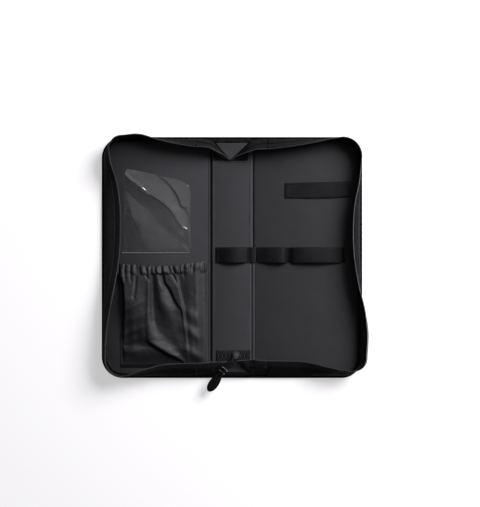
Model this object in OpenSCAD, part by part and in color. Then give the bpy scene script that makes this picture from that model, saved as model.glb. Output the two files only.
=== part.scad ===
// Soft instrument case with a zip all round, lying open flat on its spine and both covers.
// Units are mm. X runs across the case, Y along its spine and Z up.
// The origin is under the middle of the spine, in the plane that the case lies on.

/* [Case] */
// Length of the case along its spine
case_length = 308; // [292:2:324]
// Width of one cover, from its fold line to its outer edge
cover_width = 140; // [130:1:150]
// Width of the spine between its two fold lines
spine_width = 53; // [51:0.5:56]
// Radius of a cover's two outer corners
corner_radius = 27; // [22:1:29]
// Length of a side wall up its slope, from the panel to the zip
wall_slope = 28.5; // [27.5:0.5:30]

/* [Layers] */
// Thickness of the outer cloth under each panel
skin_thickness = 1.2; // [1:0.1:1.4]
// Thickness of the stiffening board
board_thickness = 1.8; // [1.5:0.1:2.1]
// Thickness of the padded lining
lining_thickness = 1.4; // [1.2:0.1:1.6]
// Thickness of the side wall
wall_thickness = 1.1; // [0.9:0.1:1.3]
// Radius of the piping round the outer edge
piping_radius = 1.4; // [1.2:0.1:1.5]

/* [Elastic band] */
// Width of the elastic band and of the upper strap
band_width = 20; // [16:1:24]
// Thickness of the elastic band
band_thickness = 1.2; // [1:0.1:1.4]
// Rise of each band loop above the lining
loop_rise = 7.6; // [7:0.2:8.6]
// Length of the small loop on the right cover
small_loop_length = 41; // [36:1:46]
// Length of the large loop on the right cover
large_loop_length = 70; // [62:1:72]

/* [Pocket] */
// Width of the gathered pocket across the left cover
pocket_width = 115; // [105:1:118]
// Height of the gathered pocket, from its hem to its mouth
pocket_height = 133; // [120:1:135]
// Height that the pocket's cloth stands off the lining
pocket_bulge = 10.5; // [9:0.5:12]
// Width of the clear card window
window_width = 88; // [80:1:92]

/* [Zip] */
// Radius of the closed zip coil's half on each edge
coil_radius = 1; // [0.8:0.1:1.1]
// Width of the slider's body
slider_width = 8.6; // [8:0.2:9.6]
// Length of the slider's body
slider_length = 12; // [11:0.5:13]
// Length of the leather tab on the puller
tab_length = 36; // [30:1:38]
// Width of the leather tab at its widest
tab_width = 12.6; // [11:0.2:13.4]

/* [Hidden] */
// Gap between two soft pieces of different bodies
soft_gap = 0.3;
// Gap between two pieces that are sewn or glued together
seam_gap = 0.05;
// Room left at a fold when its cover stands upright
fold_clearance = 0.2;
// Stack of layers, and the height of both fold lines in its middle
stack = skin_thickness + board_thickness + lining_thickness;
fold_z = stack / 2;
// Distance that each panel stops short of its fold line
fold_back = stack - fold_z + fold_clearance;
fold_x = spine_width / 2;
half_length = case_length / 2;
outer_x = fold_x + cover_width;
spine_edge = fold_x - fold_back;
cover_edge = fold_x + fold_back;
// Distances in from the outer edge to the cloth, the wall's middle line, the board and the lining
skin_inset = 2 * piping_radius;
wall_inset = skin_inset + 0.25 + wall_thickness / 2;
lining_inset = wall_inset + wall_thickness / 2 + 1.4;
board_inset = lining_inset - 0.4;
// Distance from the fold line to where a cover's standing wall begins
wall_start = 17;
// Highest that a wall's free edge may stand above the fold line
free_height = fold_x + fold_z - skin_thickness - coil_radius - 0.35;
// Share of the wall's slope that is cloth, the rest being zip tape
cloth_share = 0.74;
tape_top = 0.958;
tape_thickness = 0.7;
// Lean of each wall's free edge in from the outer edge, as shares of the slope,
// along the top run from the fold, down the side, and along the bottom run to the fold
right_lean = [
  [0.61, 0.53, 0.41, 0.25, 0.1],
  [0.12, 0.24, 0.45, 0.505, 0.455, 0.28, 0.01, -0.15, -0.1],
  [0.45, 0.62, 0.78, 0.815, 0.825]];
left_lean = [
  [0.52, 0.4, 0.22, -0.02, 0.03],
  [0.46, 0.74, 0.88, 0.888, 0.83, 0.68, 0.49, 0.33, 0.28],
  [0.16, 0.4, 0.63, 0.7, 0.72]];
run_steps = 9;
corner_steps = 7;
side_steps = 18;
round_sides = 6;
panel_corner_steps = 12;

cloth = [0.08, 0.08, 0.085];
lining = [0.24, 0.24, 0.26];
webbing = [0.14, 0.14, 0.15];
metal = [0.6, 0.6, 0.62];
clear = [0.75, 0.78, 0.8, 0.5];
board_grey = [0.5, 0.48, 0.44];
leather = [0.12, 0.11, 0.11];
thread = [0.35, 0.35, 0.37];

function mix(a, b, t) = a + (b - a) * t;
function ease(t) = t * t * (3 - 2 * t);
function reversed(list) = [for (i = [len(list) - 1:-1:0]) list[i]];

// A smooth curve through evenly spaced values, or through points
function curve(list, t) =
  let (n = len(list) - 1)
  let (f = min(n - 0.0001, max(0, t * n)))
  let (i = floor(f), r = f - i)
  let (a = list[max(0, i - 1)], b = list[i], c = list[i + 1], d = list[min(n, i + 2)])
  0.5 * (2 * b + (c - a) * r + (2 * a - 5 * b + 4 * c - d) * r * r
    + (3 * b - a - 3 * c + d) * r * r * r);

// A closed skin through rings of points that run right-handed about the way they are stacked.
// Each ring goes out along one side and back along the other.
module loft(rings) {
  n = len(rings);
  m = len(rings[0]);
  sides = [
    for (i = [0:n - 2])
      for (j = [0:m - 1])
        let (a = i * m + j, b = i * m + (j + 1) % m)
        each [[a, b + m, b], [a, a + m, b + m]]];
  near = [
    for (k = [0:m / 2 - 2])
      each [[k, k + 1, m - 2 - k], [k, m - 2 - k, m - 1 - k]]];
  base = (n - 1) * m;
  far = [for (f = near) [base + f[0], base + f[2], base + f[1]]];
  polyhedron(points = [for (r = rings) each r], faces = concat(sides, near, far));
}

// Outline of a panel that is square at its fold and round at its outer corners
function panel_outline(inset, from) =
  let (r = corner_radius - inset)
  let (cx = outer_x - corner_radius, cy = half_length - corner_radius)
  concat(
    [[from, -half_length + inset]],
    [for (i = [0:panel_corner_steps]) let (a = -90 + 90 * i / panel_corner_steps)
      [cx + r * cos(a), -cy + r * sin(a)]],
    [for (i = [0:panel_corner_steps]) let (a = 90 * i / panel_corner_steps)
      [cx + r * cos(a), cy + r * sin(a)]],
    [[from, half_length - inset]]);

module panel(inset, bottom, thickness) {
  translate([0, 0, bottom])
    linear_extrude(thickness)
      polygon(panel_outline(inset, cover_edge));
}

module spine_panel(inset, edge, bottom, thickness) {
  translate([-edge, -half_length + inset, bottom])
    cube([2 * edge, case_length - 2 * inset, thickness]);
}

// Stations round a cover: place, outward direction and lean of the wall there
function cover_path(inset, from, lean) =
  let (r = corner_radius - inset)
  let (cx = outer_x - corner_radius, cy = half_length - corner_radius)
  let (first = lean[0], side = lean[1], last = lean[2])
  let (e = len(first) - 1, s = len(side) - 1)
  concat(
    [for (i = [0:run_steps - 1]) let (t = i / run_steps)
      [mix(from, cx, t), cy + r, 0, 1, curve(first, t)]],
    [for (i = [0:corner_steps - 1]) let (t = i / corner_steps, a = 90 - 90 * t)
      [cx + r * cos(a), cy + r * sin(a), cos(a), sin(a), mix(first[e], side[0], ease(t))]],
    [for (i = [0:side_steps - 1]) let (t = i / side_steps)
      [cx + r, mix(cy, -cy, t), 1, 0, curve(side, t)]],
    [for (i = [0:corner_steps - 1]) let (t = i / corner_steps, a = -90 * t)
      [cx + r * cos(a), -cy + r * sin(a), cos(a), sin(a), mix(side[s], last[0], ease(t))]],
    [for (i = [0:run_steps]) let (t = i / run_steps)
      [mix(cx, from, t), -cy - r, 0, -1, curve(last, t)]]);

// A wall that leans far hangs slack, so its free edge stands lower than its slope allows
function slack(lean) = 1 - 0.3 * ease(min(1, max(0, (lean - 0.5) / 0.35)));

// Curve parameter at a share of the way along a curve from the foot through a control point
function along(c, e, share) =
  let (n = 10)
  let (p = [for (k = [0:n]) let (u = k / n) 2 * (1 - u) * u * c + u * u * e])
  let (sums = [for (k = 0, a = 0; k <= n; a = a + (k < n ? norm(p[k + 1] - p[k]) : 0), k = k + 1) a])
  lookup(share * sums[n], [for (k = [0:n]) [sums[k], k / n]]);

// Place, outward direction and upward direction on a wall, a share of the way up its curved slope
function wall_frame(st, share) =
  let (d = st[4] * wall_slope - wall_inset)
  let (z = min(free_height, slack(st[4]) * sqrt(max(1, wall_slope * wall_slope - d * d))))
  let (cd = -0.03 * d, cz = 0.72 * z)
  let (u = along([cd, cz], [d, z], share))
  let (o = 2 * (1 - u) * u * cd + u * u * d, h = 2 * (1 - u) * u * cz + u * u * z)
  let (to = (1 - u) * cd + u * (d - cd), th = (1 - u) * cz + u * (z - cz))
  let (l = sqrt(to * to + th * th))
  [[st[0] - st[2] * o, st[1] - st[3] * o, skin_thickness + seam_gap + h],
    [st[2] * th / l, st[3] * th / l, to / l],
    [-st[2] * to / l, -st[3] * to / l, th / l]];

function wall_point(st, u, w) = let (f = wall_frame(st, u)) f[0] + w * f[1];

// A band up the wall between two shares of its slope
function wall_band(st, shares, half) = concat(
  [for (u = shares) wall_point(st, u, half)],
  [for (u = reversed(shares)) wall_point(st, u, -half)]);

module cover_wall(lean) {
  shares = [for (i = [0:4]) cloth_share * i / 4];
  path = cover_path(wall_inset, fold_x + wall_start, lean);
  loft([for (st = path) wall_band(st, shares, wall_thickness / 2)]);
}

module cover_tape(lean) {
  low = cloth_share + 0.004;
  shares = [low, (low + tape_top) / 2, tape_top];
  path = cover_path(wall_inset, fold_x + wall_start, lean);
  loft([for (st = path) wall_band(st, shares, tape_thickness / 2)]);
}

module cover_coil(lean) {
  path = cover_path(wall_inset, fold_x + wall_start, lean);
  loft([
    for (st = path)
      let (f = wall_frame(st, 1))
      [for (k = [0:round_sides - 1])
        let (a = 360 * (k + 0.5) / round_sides - 90)
        f[0] + coil_radius * (cos(a) * f[1] + sin(a) * f[2])]]);
}

// Piping that stands on the floor plane's side of the edge, a little clear of it
piping_z = piping_radius + 0.1;

module cover_piping() {
  flat_lean = [[0, 0], [0, 0], [0, 0]];
  path = cover_path(piping_radius, cover_edge, flat_lean);
  loft([
    for (st = path)
      [for (k = [0:round_sides - 1])
        let (a = 360 * (k + 0.5) / round_sides - 90)
        [st[0] + st[2] * piping_radius * cos(a), st[1] + st[3] * piping_radius * cos(a),
          piping_z + piping_radius * sin(a)]]]);
}

module left() {
  mirror([1, 0, 0])
    children();
}

module spine_skin() {
  color(cloth) spine_panel(skin_inset + seam_gap, spine_edge, 0, skin_thickness);
}

module spine_board() {
  color(board_grey)
    spine_panel(board_inset, spine_edge - 0.8, skin_thickness, board_thickness);
}

module spine_lining() {
  color(lining)
    spine_panel(lining_inset, spine_edge, skin_thickness + board_thickness, lining_thickness);
}

module spine_piping() {
  color(cloth)
    for (end = [-1, 1])
      translate([-spine_edge, end * (half_length - piping_radius), piping_z])
        rotate([0, 90, 0])
          cylinder(r = piping_radius, h = 2 * spine_edge, $fn = 12);
}

// Flexible cloth across each fold, from the spine to a cover
strip_thickness = 0.9;
module fold_strip() {
  translate([spine_edge + seam_gap, -half_length + skin_inset + seam_gap, soft_gap])
    cube([2 * fold_back - 2 * seam_gap, case_length - 2 * skin_inset - 2 * seam_gap,
      strip_thickness]);
}

module fold_strip_left() { color(cloth) left() fold_strip(); }
module fold_strip_right() { color(cloth) fold_strip(); }

module left_skin() { color(cloth) left() panel(skin_inset + seam_gap, 0, skin_thickness); }
module right_skin() { color(cloth) panel(skin_inset + seam_gap, 0, skin_thickness); }

module cover_board() {
  translate([0, 0, skin_thickness])
    linear_extrude(board_thickness)
      polygon(panel_outline(board_inset, cover_edge + 0.8));
}

module left_board() { color(board_grey) left() cover_board(); }
module right_board() { color(board_grey) cover_board(); }

module cover_lining() { panel(lining_inset, skin_thickness + board_thickness, lining_thickness); }
module left_lining() { color(lining) left() cover_lining(); }
module right_lining() { color(lining) cover_lining(); }

module left_piping() { color(cloth) left() cover_piping(); }
module right_piping() { color(cloth) cover_piping(); }
module left_wall() { color(cloth) left() cover_wall(left_lean); }
module right_wall() { color(cloth) cover_wall(right_lean); }
module left_zip_tape() { color(webbing) left() cover_tape(left_lean); }
module right_zip_tape() { color(webbing) cover_tape(right_lean); }
module left_zip_coil() { color(thread) left() cover_coil(left_lean); }
module right_zip_coil() { color(thread) cover_coil(right_lean); }

// The spine's two ends: a low upright band, and a triangle that folds in between the zip's ends
band_foot = half_length - wall_inset;
band_top_z = 9.2;
band_lean = 3.4;
band_edge = spine_edge - soft_gap;
module end_band() {
  foot = skin_thickness + seam_gap;
  half = wall_thickness / 2;
  translate([-band_edge, 0, 0])
    rotate([90, 0, 90])
      linear_extrude(2 * band_edge)
        polygon([
          [band_foot + half, foot], [band_foot + half, foot + 3.4],
          [band_foot + half - 0.9, foot + 6],
          [band_foot + half - band_lean, band_top_z],
          [band_foot - half - band_lean, band_top_z - 0.6],
          [band_foot - half - 0.9, foot + 5.4],
          [band_foot - half, foot + 3], [band_foot - half, foot]]);
}

module end_band_top() { color(cloth) end_band(); }
module end_band_bottom() { color(cloth) mirror([0, 1, 0]) end_band(); }

// Where the zip's two ends meet over the spine, at the top and at the bottom
top_tip = [-2, half_length - 29.2, 6.6];
bottom_tip = [5, half_length - 20.6, 7.2];
gusset_thickness = 0.9;
gusset_reach = 21;
// Line that a triangle turns about, at its sewn edge
gusset_back = band_foot - band_lean - wall_thickness / 2 - 0.6;
gusset_z = band_top_z - 1.2;
// A flat triangle from the band's top edge down to the zip's ends
module end_gusset(tip) {
  length = gusset_back - tip[1];
  drop = gusset_z - tip[2];
  translate([0, gusset_back, gusset_z])
    rotate([atan(drop / length), 0, 0])
      translate([0, 0, -gusset_thickness / 2])
        linear_extrude(gusset_thickness)
          polygon([[-gusset_reach, 0], [gusset_reach, 0],
            [tip[0] + 0.8, -length], [tip[0] - 0.8, -length]]);
}

module end_gusset_top() { color(lining) end_gusset(top_tip); }
module end_gusset_bottom() { color(lining) mirror([0, 1, 0]) end_gusset(bottom_tip); }

// Soft ribbon of wall and zip tape that folds in from a cover's wall to the zip's end.
// It starts as wide as the wall and narrows along the triangle's side.
fold_steps = 14;
fold_rows = 5;
module end_fold(tip, share, side) {
  st = [fold_x + wall_start - soft_gap, band_foot, 0, 1, share];
  start_low = wall_frame(st, 0)[0] + [0, 0, soft_gap];
  start_mid = wall_frame(st, 0.5)[0];
  start_free = wall_frame(st, 0.97)[0];
  tip_x = side * tip[0];
  rise = start_free[2];
  low = [
    start_low + [0, 0.1, 0.2], [fold_x + 4, band_foot, 3.8],
    [gusset_reach + 3.6, band_foot - 1.6, 7.2],
    [gusset_reach + 1.8, band_foot - band_lean - 1, 9.3],
    [mix(gusset_reach, tip_x, 0.35) + 1.8, mix(band_foot - band_lean - 1, tip[1], 0.35), 9.2],
    [mix(gusset_reach, tip_x, 0.7) + 1.8, mix(band_foot - band_lean - 1, tip[1], 0.7), 8.6],
    [tip_x + 1.3, tip[1] + 0.2, tip[2] + 0.8]];
  free = [
    start_free, mix(start_free, [fold_x + 4, start_free[1] - 0.6, rise - 1], 0.9),
    [fold_x + 1, start_free[1] - 1.4, rise - 3],
    [mix(fold_x, tip_x, 0.25), mix(start_free[1], tip[1], 0.25) - 1, rise - 5],
    [mix(fold_x, tip_x, 0.5), mix(start_free[1], tip[1], 0.42) - 1, mix(rise, tip[2], 0.6)],
    [mix(fold_x, tip_x, 0.75), mix(start_free[1], tip[1], 0.66) - 1, mix(rise, tip[2], 0.8)],
    [tip_x + 0.9, tip[1] - 1.4, tip[2] + 0.9]];
  crest = [for (i = [0:len(low) - 1])
    let (m = mix(low[i], free[i], 0.45), f = 1 - i / (len(low) - 1))
    i == 0 ? start_mid * 2 - (start_low + start_free) / 2
      : m + [0, 5.4 * f * f, 6.5 * f]];
  rings = [
    for (i = [0:fold_steps])
      let (t = i / fold_steps)
      let (a = curve(low, t), b = curve(crest, t), c = curve(free, t))
      let (half = mix(wall_thickness, tape_thickness, t) / 2)
      let (line = [for (k = [0:fold_rows])
        let (u = k / fold_rows)
        (1 - u) * (1 - u) * a + 2 * (1 - u) * u * b + u * u * c])
      let (out = [for (k = [0:fold_rows])
        let (d = line[min(fold_rows, k + 1)] - line[max(0, k - 1)])
        let (l = norm([d[1], d[2]]))
        half * [0, d[2] / l, -d[1] / l]])
      concat(
        [for (k = [0:fold_rows]) line[k] - out[k]],
        [for (k = [fold_rows:-1:0]) line[k] + out[k]])];
  loft(rings);
}

module end_fold_top_right() { color(cloth) end_fold(top_tip, right_lean[0][0], 1); }
module end_fold_top_left() { color(cloth) left() end_fold(top_tip, left_lean[0][0], -1); }
module end_fold_bottom_right() {
  color(cloth) mirror([0, 1, 0]) end_fold(bottom_tip, right_lean[2][4], 1);
}
module end_fold_bottom_left() {
  color(cloth) mirror([0, 1, 0]) left() end_fold(bottom_tip, left_lean[2][4], -1);
}

// Stitched patch that holds the zip's parked end on the spine
patch_thickness = 0.9;
patch_from = 21.5;
patch_length = 14.5;
patch_reach = 20;
module end_patch() {
  color(webbing)
    translate([-patch_reach, -half_length + patch_from, stack + seam_gap])
      cube([patch_reach + spine_edge - 0.6, patch_length, patch_thickness]);
}

// Row of stitches across the spine under the top triangle's tip
stitch_length = 2.4;
stitch_pitch = 3.6;
stitch_width = 0.7;
stitch_rise = 0.45;
module stitch_row(from, count) {
  for (i = [0:count - 1])
    translate([from + i * stitch_pitch, -stitch_width / 2, 0])
      cube([stitch_length, stitch_width, stitch_rise]);
}

// Distance of the row from the end of the case
end_stitch_inset = 31.5;
module end_stitches() {
  color(thread)
    translate([0, half_length - end_stitch_inset, stack + seam_gap])
      stitch_row(-18, 11);
}

// A loop of elastic that arches between two sewn feet
foot_length = 4;
module band_loop(from, length, rise, y) {
  chord = length - 2 * foot_length;
  sag = rise - band_thickness;
  radius = (chord * chord / 4 + sag * sag) / (2 * sag);
  translate([from, y + band_width / 2, stack + seam_gap])
    rotate([90, 0, 0])
      linear_extrude(band_width)
        union() {
          difference() {
            translate([length / 2, sag - radius])
              circle(r = radius + band_thickness, $fn = 240);
            translate([length / 2, sag - radius])
              circle(r = radius, $fn = 240);
            translate([-radius * 2, -3 * radius])
              square([6 * radius + length, 3 * radius]);
          }
          square([foot_length + 0.4, band_thickness * 0.8]);
          translate([length - foot_length - 0.4, 0])
            square([foot_length + 0.4, band_thickness * 0.8]);
        }
}

band_y = 3.2;
spine_loop_from = -spine_edge + 3.4;
spine_loop_length = 2 * spine_edge - 5.6;
small_loop_from = fold_x + 4.2;
large_loop_from = small_loop_from + small_loop_length + 1.6;
module spine_loop() {
  color(webbing) band_loop(spine_loop_from, spine_loop_length, loop_rise - 0.4, band_y);
}
module small_loop() { color(webbing) band_loop(small_loop_from, small_loop_length, loop_rise, band_y); }
module large_loop() { color(webbing) band_loop(large_loop_from, large_loop_length, loop_rise, band_y); }

// The band's flat run over the right fold, between two loops
module band_bridge() {
  from = spine_loop_from + spine_loop_length + soft_gap;
  color(webbing)
    translate([from, band_y - band_width / 2, stack + soft_gap])
      cube([small_loop_from - soft_gap - from, band_width, band_thickness * 0.7]);
}

// Bar tacks that hold the band down between its loops and at its outer end
tack_width = 1.1;
module band_tacks() {
  rise = band_thickness * 0.8;
  color(thread)
    for (x = [small_loop_from + small_loop_length - 2.2, large_loop_from + 1.1,
        large_loop_from + large_loop_length - 2.2])
      translate([x, band_y - band_width / 2 + 1.5, stack + 2 * seam_gap + rise])
        cube([tack_width, band_width - 3, stitch_rise]);
}

// Upper strap, sewn flat by a square of stitches at its inner end and slack along the rest
// Distance from the fold line to the sewn end
strap_start = 41;
strap_from = fold_x + strap_start;
strap_length = 84;
strap_y = 86;
module upper_strap() {
  low = band_thickness * 0.9;
  arch = 1.5;
  pad = 12;
  steps = 12;
  run = strap_length - pad;
  color(webbing)
    translate([strap_from, strap_y + band_width / 2, stack + seam_gap])
      rotate([90, 0, 0])
        linear_extrude(band_width)
          polygon(concat(
            [[0, 0], [pad, 0]],
            [for (i = [1:steps - 1]) [pad + run * i / steps, arch * sin(180 * i / steps)]],
            [[strap_length, 0], [strap_length, low]],
            [for (i = [steps - 1:-1:1])
              [pad + run * i / steps, low + arch * sin(180 * i / steps)]],
            [[pad, low], [0, low]]));
}

// Gathered pocket on the left cover, drawn as if on the right and then mirrored
pocket_inner = fold_x + 5.6;
pocket_outer = pocket_inner + pocket_width;
pocket_bottom = -half_length + 18;
casing_depth = 17;
pocket_top = pocket_bottom + pocket_height - casing_depth;
pocket_cloth = 0.9;
pocket_columns = 44;
pocket_rows = 12;
// Each main fold: share across at the mouth, share across at the hem, height, half-width, share of fade
pocket_folds = [
  [0.1, 0.17, 1.4, 0.028, 0.2], [0.2, 0.23, 1.8, 0.03, 0.1], [0.33, 0.2, 3, 0.026, 0],
  [0.49, 0.26, 2.2, 0.035, 0.5], [0.6, 0.6, 3.4, 0.032, 0.1], [0.73, 0.78, 1.9, 0.034, 0.4],
  [0.84, 0.9, 2, 0.03, 0.2], [0.93, 0.95, 1.3, 0.024, 0]];
// Hem's diagonal ridge: share across at its two ends, share up at its two ends, height, half-width
hem_ridge = [0.62, 0.24, 0.3, 0.06, 3.2, 0.05];

function fold_shape(dx, w) = exp(-pow(dx / w, 2)) - 0.35 * exp(-pow((dx - 2.1 * w) / (1.3 * w), 2));

function pocket_rise(across, up) =
  let (body = pow(sin(180 * min(0.999, max(0.001, across))), 0.5))
  let (hem = 1 - pow(1 - up, 2.6))
  let (folds = [for (f = pocket_folds)
    let (c = mix(f[1], f[0], up))
    f[2] * fold_shape(across - c, f[3] * (1.7 - 0.7 * up)) * mix(1 - f[4], 1, up)])
  let (k = folds[0] + folds[1] + folds[2] + folds[3] + folds[4] + folds[5] + folds[6] + folds[7])
  let (s = min(1, max(0, (across - hem_ridge[1]) / (hem_ridge[0] - hem_ridge[1]))))
  let (line = mix(hem_ridge[3], hem_ridge[2], s))
  let (ridge = hem_ridge[4] * sin(180 * min(1, max(0, s * 0.8 + 0.1)))
    * exp(-pow((up - line) / hem_ridge[5], 2)) * (s > 0 && s < 1 ? 1 : 0))
  let (gathers = 0.9 * sin(360 * 11 * across) * exp((up - 1) / 0.12))
  hem * body * (pocket_bulge * (0.72 + 0.28 * up) + k + ridge + gathers);

module gathered_pocket() {
  z = stack + 0.15;
  color(webbing)
    left()
      loft([
        for (j = [0:pocket_rows])
          let (v = j / pocket_rows, up = v)
          let (y = mix(pocket_bottom, pocket_top, v))
          concat(
            [for (i = [0:pocket_columns])
              let (a = i / pocket_columns)
              [mix(pocket_inner, pocket_outer, a), y, z + pocket_rise(a, up) + pocket_cloth]],
            [for (i = [pocket_columns:-1:0])
              let (a = i / pocket_columns)
              [mix(pocket_inner, pocket_outer, a), y, z + pocket_rise(a, up)]])]);
}

// Ruffled casing with its elastic inside, arching over the pocket's mouth
casing_steps = 66;
casing_sides = 8;
casing_gathers = 11;
module pocket_casing() {
  half = casing_depth / 2 - 0.6;
  color(webbing)
    left()
      loft([
        for (i = [0:casing_steps])
          let (a = i / casing_steps)
          let (wave = sin(360 * casing_gathers * a), slow = sin(360 * 2.3 * a + 40))
          let (rz = 1.5 + 0.75 * wave, ry = half - 0.7 + 0.5 * wave)
          let (arch = (pocket_bulge + 0.4) * pow(sin(180 * min(0.999, max(0.001, a))), 0.5))
          let (y = pocket_top + casing_depth / 2 + 0.1 + 0.6 * slow)
          let (z = stack + 0.2 + 2.3 + arch)
          [for (k = [0:casing_sides - 1])
            let (b = 360 * (k + 0.5) / casing_sides - 90)
            [mix(pocket_inner, pocket_outer, a), y + ry * cos(b), z + rz * sin(b)]]]);
}

// Sewn hem below the pocket
module pocket_hem() {
  color(webbing)
    left()
      translate([pocket_inner, pocket_bottom - 4.4, stack + seam_gap])
        cube([pocket_width, 4.2, 0.9]);
}

// Clear card window on the left cover, with its creases, drawn as if on the right
window_inner = fold_x + 26.5;
window_bottom = 6.4;
window_film = 0.4;
window_columns = 20;
window_rows = 14;
// Height of the slanted top edge above the bottom one, at shares across from the inner side
window_top = [[0, 80], [0.05, 88], [0.22, 94], [0.55, 100.5], [0.92, 107.6], [1, 99.5]];
// Each crease: share across and share up at both of its ends, height, half-width
window_creases = [
  [0.04, 0.05, 0.62, 0.66, 1.6, 0.06], [0.3, 0.9, 0.08, 0.5, 1, 0.045],
  [0.5, 0.62, 0.98, 0.94, 1.8, 0.07], [0.62, 0.2, 0.8, 0.5, 0.8, 0.1]];

function crease(a, v, c) =
  let (p = [a - c[0], v - c[1]], d = [c[2] - c[0], c[3] - c[1]])
  let (t = min(1, max(0, (p * d) / (d * d))))
  let (q = norm(p - t * d))
  c[4] * exp(-pow(q / c[5], 2));

function window_rise(a, v) =
  let (edge = pow(sin(180 * min(0.999, max(0.001, a))), 0.4) * (1 - pow(1 - v, 4)))
  let (c = window_creases)
  edge * (0.9 + crease(a, v, c[0]) + crease(a, v, c[1]) + crease(a, v, c[2]) + crease(a, v, c[3]))
  + 3 * pow(max(0, a - 0.86) / 0.14, 2) * pow(max(0, v - 0.86) / 0.14, 2);

module card_window() {
  z = stack + 0.15;
  color(clear)
    left()
      loft([
        for (j = [0:window_rows])
          let (v = j / window_rows)
          let (row = [for (i = [0:window_columns])
            let (a = i / window_columns)
            [window_inner + a * window_width,
              window_bottom + 1 + v * (lookup(a, window_top) - 1), z + window_rise(a, v)]])
          concat([for (p = row) p + [0, 0, window_film]], reversed(row))]);
}

module window_stitches() {
  count = floor(window_width / stitch_pitch);
  color(thread)
    left()
      translate([0, window_bottom - 0.4, stack + seam_gap])
        stitch_row(window_inner + 0.8, count);
}

// Slider, parked where the zip's bottom ends meet, turned towards its pull
slider_turn = 30;
slider_at = [4.5, -half_length + 28.2];
slider_z = stack + patch_thickness + 0.3;
plate = 1.2;
channel = 2.2;
bow_opening = 2.4;
bow_width = 2.2;
bow_wall = 0.9;
bow_length = 7;
slider_top = slider_z + 2 * plate + channel;
pin_radius = 0.75;
// Middle of the puller's bar, in the slider's own direction
pin_reach = bow_length / 2 - bow_wall - pin_radius - 0.2;
pin_z = slider_top + bow_opening / 2 + 0.15;

module slider_plate() {
  w = slider_width / 2;
  l = slider_length / 2;
  polygon([[-w, l * 0.55], [-w * 0.55, l], [w * 0.55, l], [w, l * 0.55],
    [w * 0.62, -l * 0.7], [w * 0.36, -l], [-w * 0.36, -l], [-w * 0.62, -l * 0.7]]);
}

module zip_slider() {
  neck = 2.2;
  color(metal)
    translate([slider_at[0], slider_at[1], 0])
      rotate([0, 0, -slider_turn]) {
        translate([0, 0, slider_z])
          linear_extrude(plate)
            slider_plate();
        translate([0, 0, slider_z + plate + channel])
          linear_extrude(plate)
            slider_plate();
        translate([-neck / 2, slider_length / 2 - 3.4, slider_z])
          cube([neck, 2.8, 2 * plate + channel]);
        translate([-bow_width / 2, 0, slider_top])
          rotate([90, 0, 90])
            linear_extrude(bow_width)
              difference() {
                polygon([[-bow_length / 2, -0.2], [bow_length / 2, -0.2],
                  [bow_length / 2, bow_opening], [bow_length / 2 - 1, bow_opening + bow_wall],
                  [-bow_length / 2 + 1, bow_opening + bow_wall], [-bow_length / 2, bow_opening]]);
                translate([-bow_length / 2 + bow_wall, 0])
                  square([bow_length - 2 * bow_wall, bow_opening]);
              }
      }
}

// Puller: a bar through the slider's bow, two arms past it, and a tongue that ends in a knuckle
puller_turn = 42;
puller_rise = 7;
puller_length = 19.3;
arm_gap = 4.6;
arm_width = 1.3;
puller_thickness = 1.5;
window_length = 8;
knuckle_radius = 1.9;
knuckle_bore = 1;
knuckle_width = 5;
pin_at = [slider_at[0] - pin_reach * sin(slider_turn), slider_at[1] - pin_reach * cos(slider_turn)];

// Puts its children at the bar, with +X along the puller
module at_pin() {
  translate([pin_at[0], pin_at[1], pin_z])
    rotate([0, 0, -90 - puller_turn])
      rotate([0, -puller_rise, 0])
        children();
}

// A round bar or bore across the puller
module cross_bar(x, radius, width) {
  translate([x, -width / 2, 0])
    rotate([-90, 0, 0])
      cylinder(r = radius, h = width, $fn = 32);
}

module puller() {
  wide = arm_gap / 2 + arm_width;
  t = puller_thickness / 2;
  k = knuckle_width / 2;
  color(metal)
    at_pin()
      difference() {
        union() {
          cross_bar(0, pin_radius, 2 * wide);
          cross_bar(puller_length, knuckle_radius, knuckle_width);
          translate([0, 0, -t])
            linear_extrude(puller_thickness)
              difference() {
                polygon([[-0.4, -wide], [window_length, -wide], [window_length + 1.8, -k],
                  [puller_length, -k], [puller_length, k], [window_length + 1.8, k],
                  [window_length, wide], [-0.4, wide]]);
                translate([-1, -arm_gap / 2])
                  square([window_length + 0.4, arm_gap]);
              }
        }
        cross_bar(puller_length, knuckle_bore, knuckle_width + 1);
      }
}

// Wire ring: its near bar turns in the puller's knuckle and its far bar carries the tab
ring_wire = 0.8;
ring_inside = 6;
ring_reach = 5.2;
tab_drop = 3;
module at_ring() {
  at_pin()
    translate([puller_length, 0, 0])
      rotate([0, puller_rise + tab_drop, 0])
        children();
}

module pull_ring() {
  wide = ring_inside + 4 * ring_wire;
  side = 2 * ring_wire - 0.2;
  color(metal)
    at_ring() {
      cross_bar(0, ring_wire, wide);
      cross_bar(ring_reach, ring_wire, wide);
      for (s = [-1, 1])
        translate([0, s * (ring_inside / 2 + ring_wire) - side / 2, -side / 2])
          cube([ring_reach, side, side]);
    }
}

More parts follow.
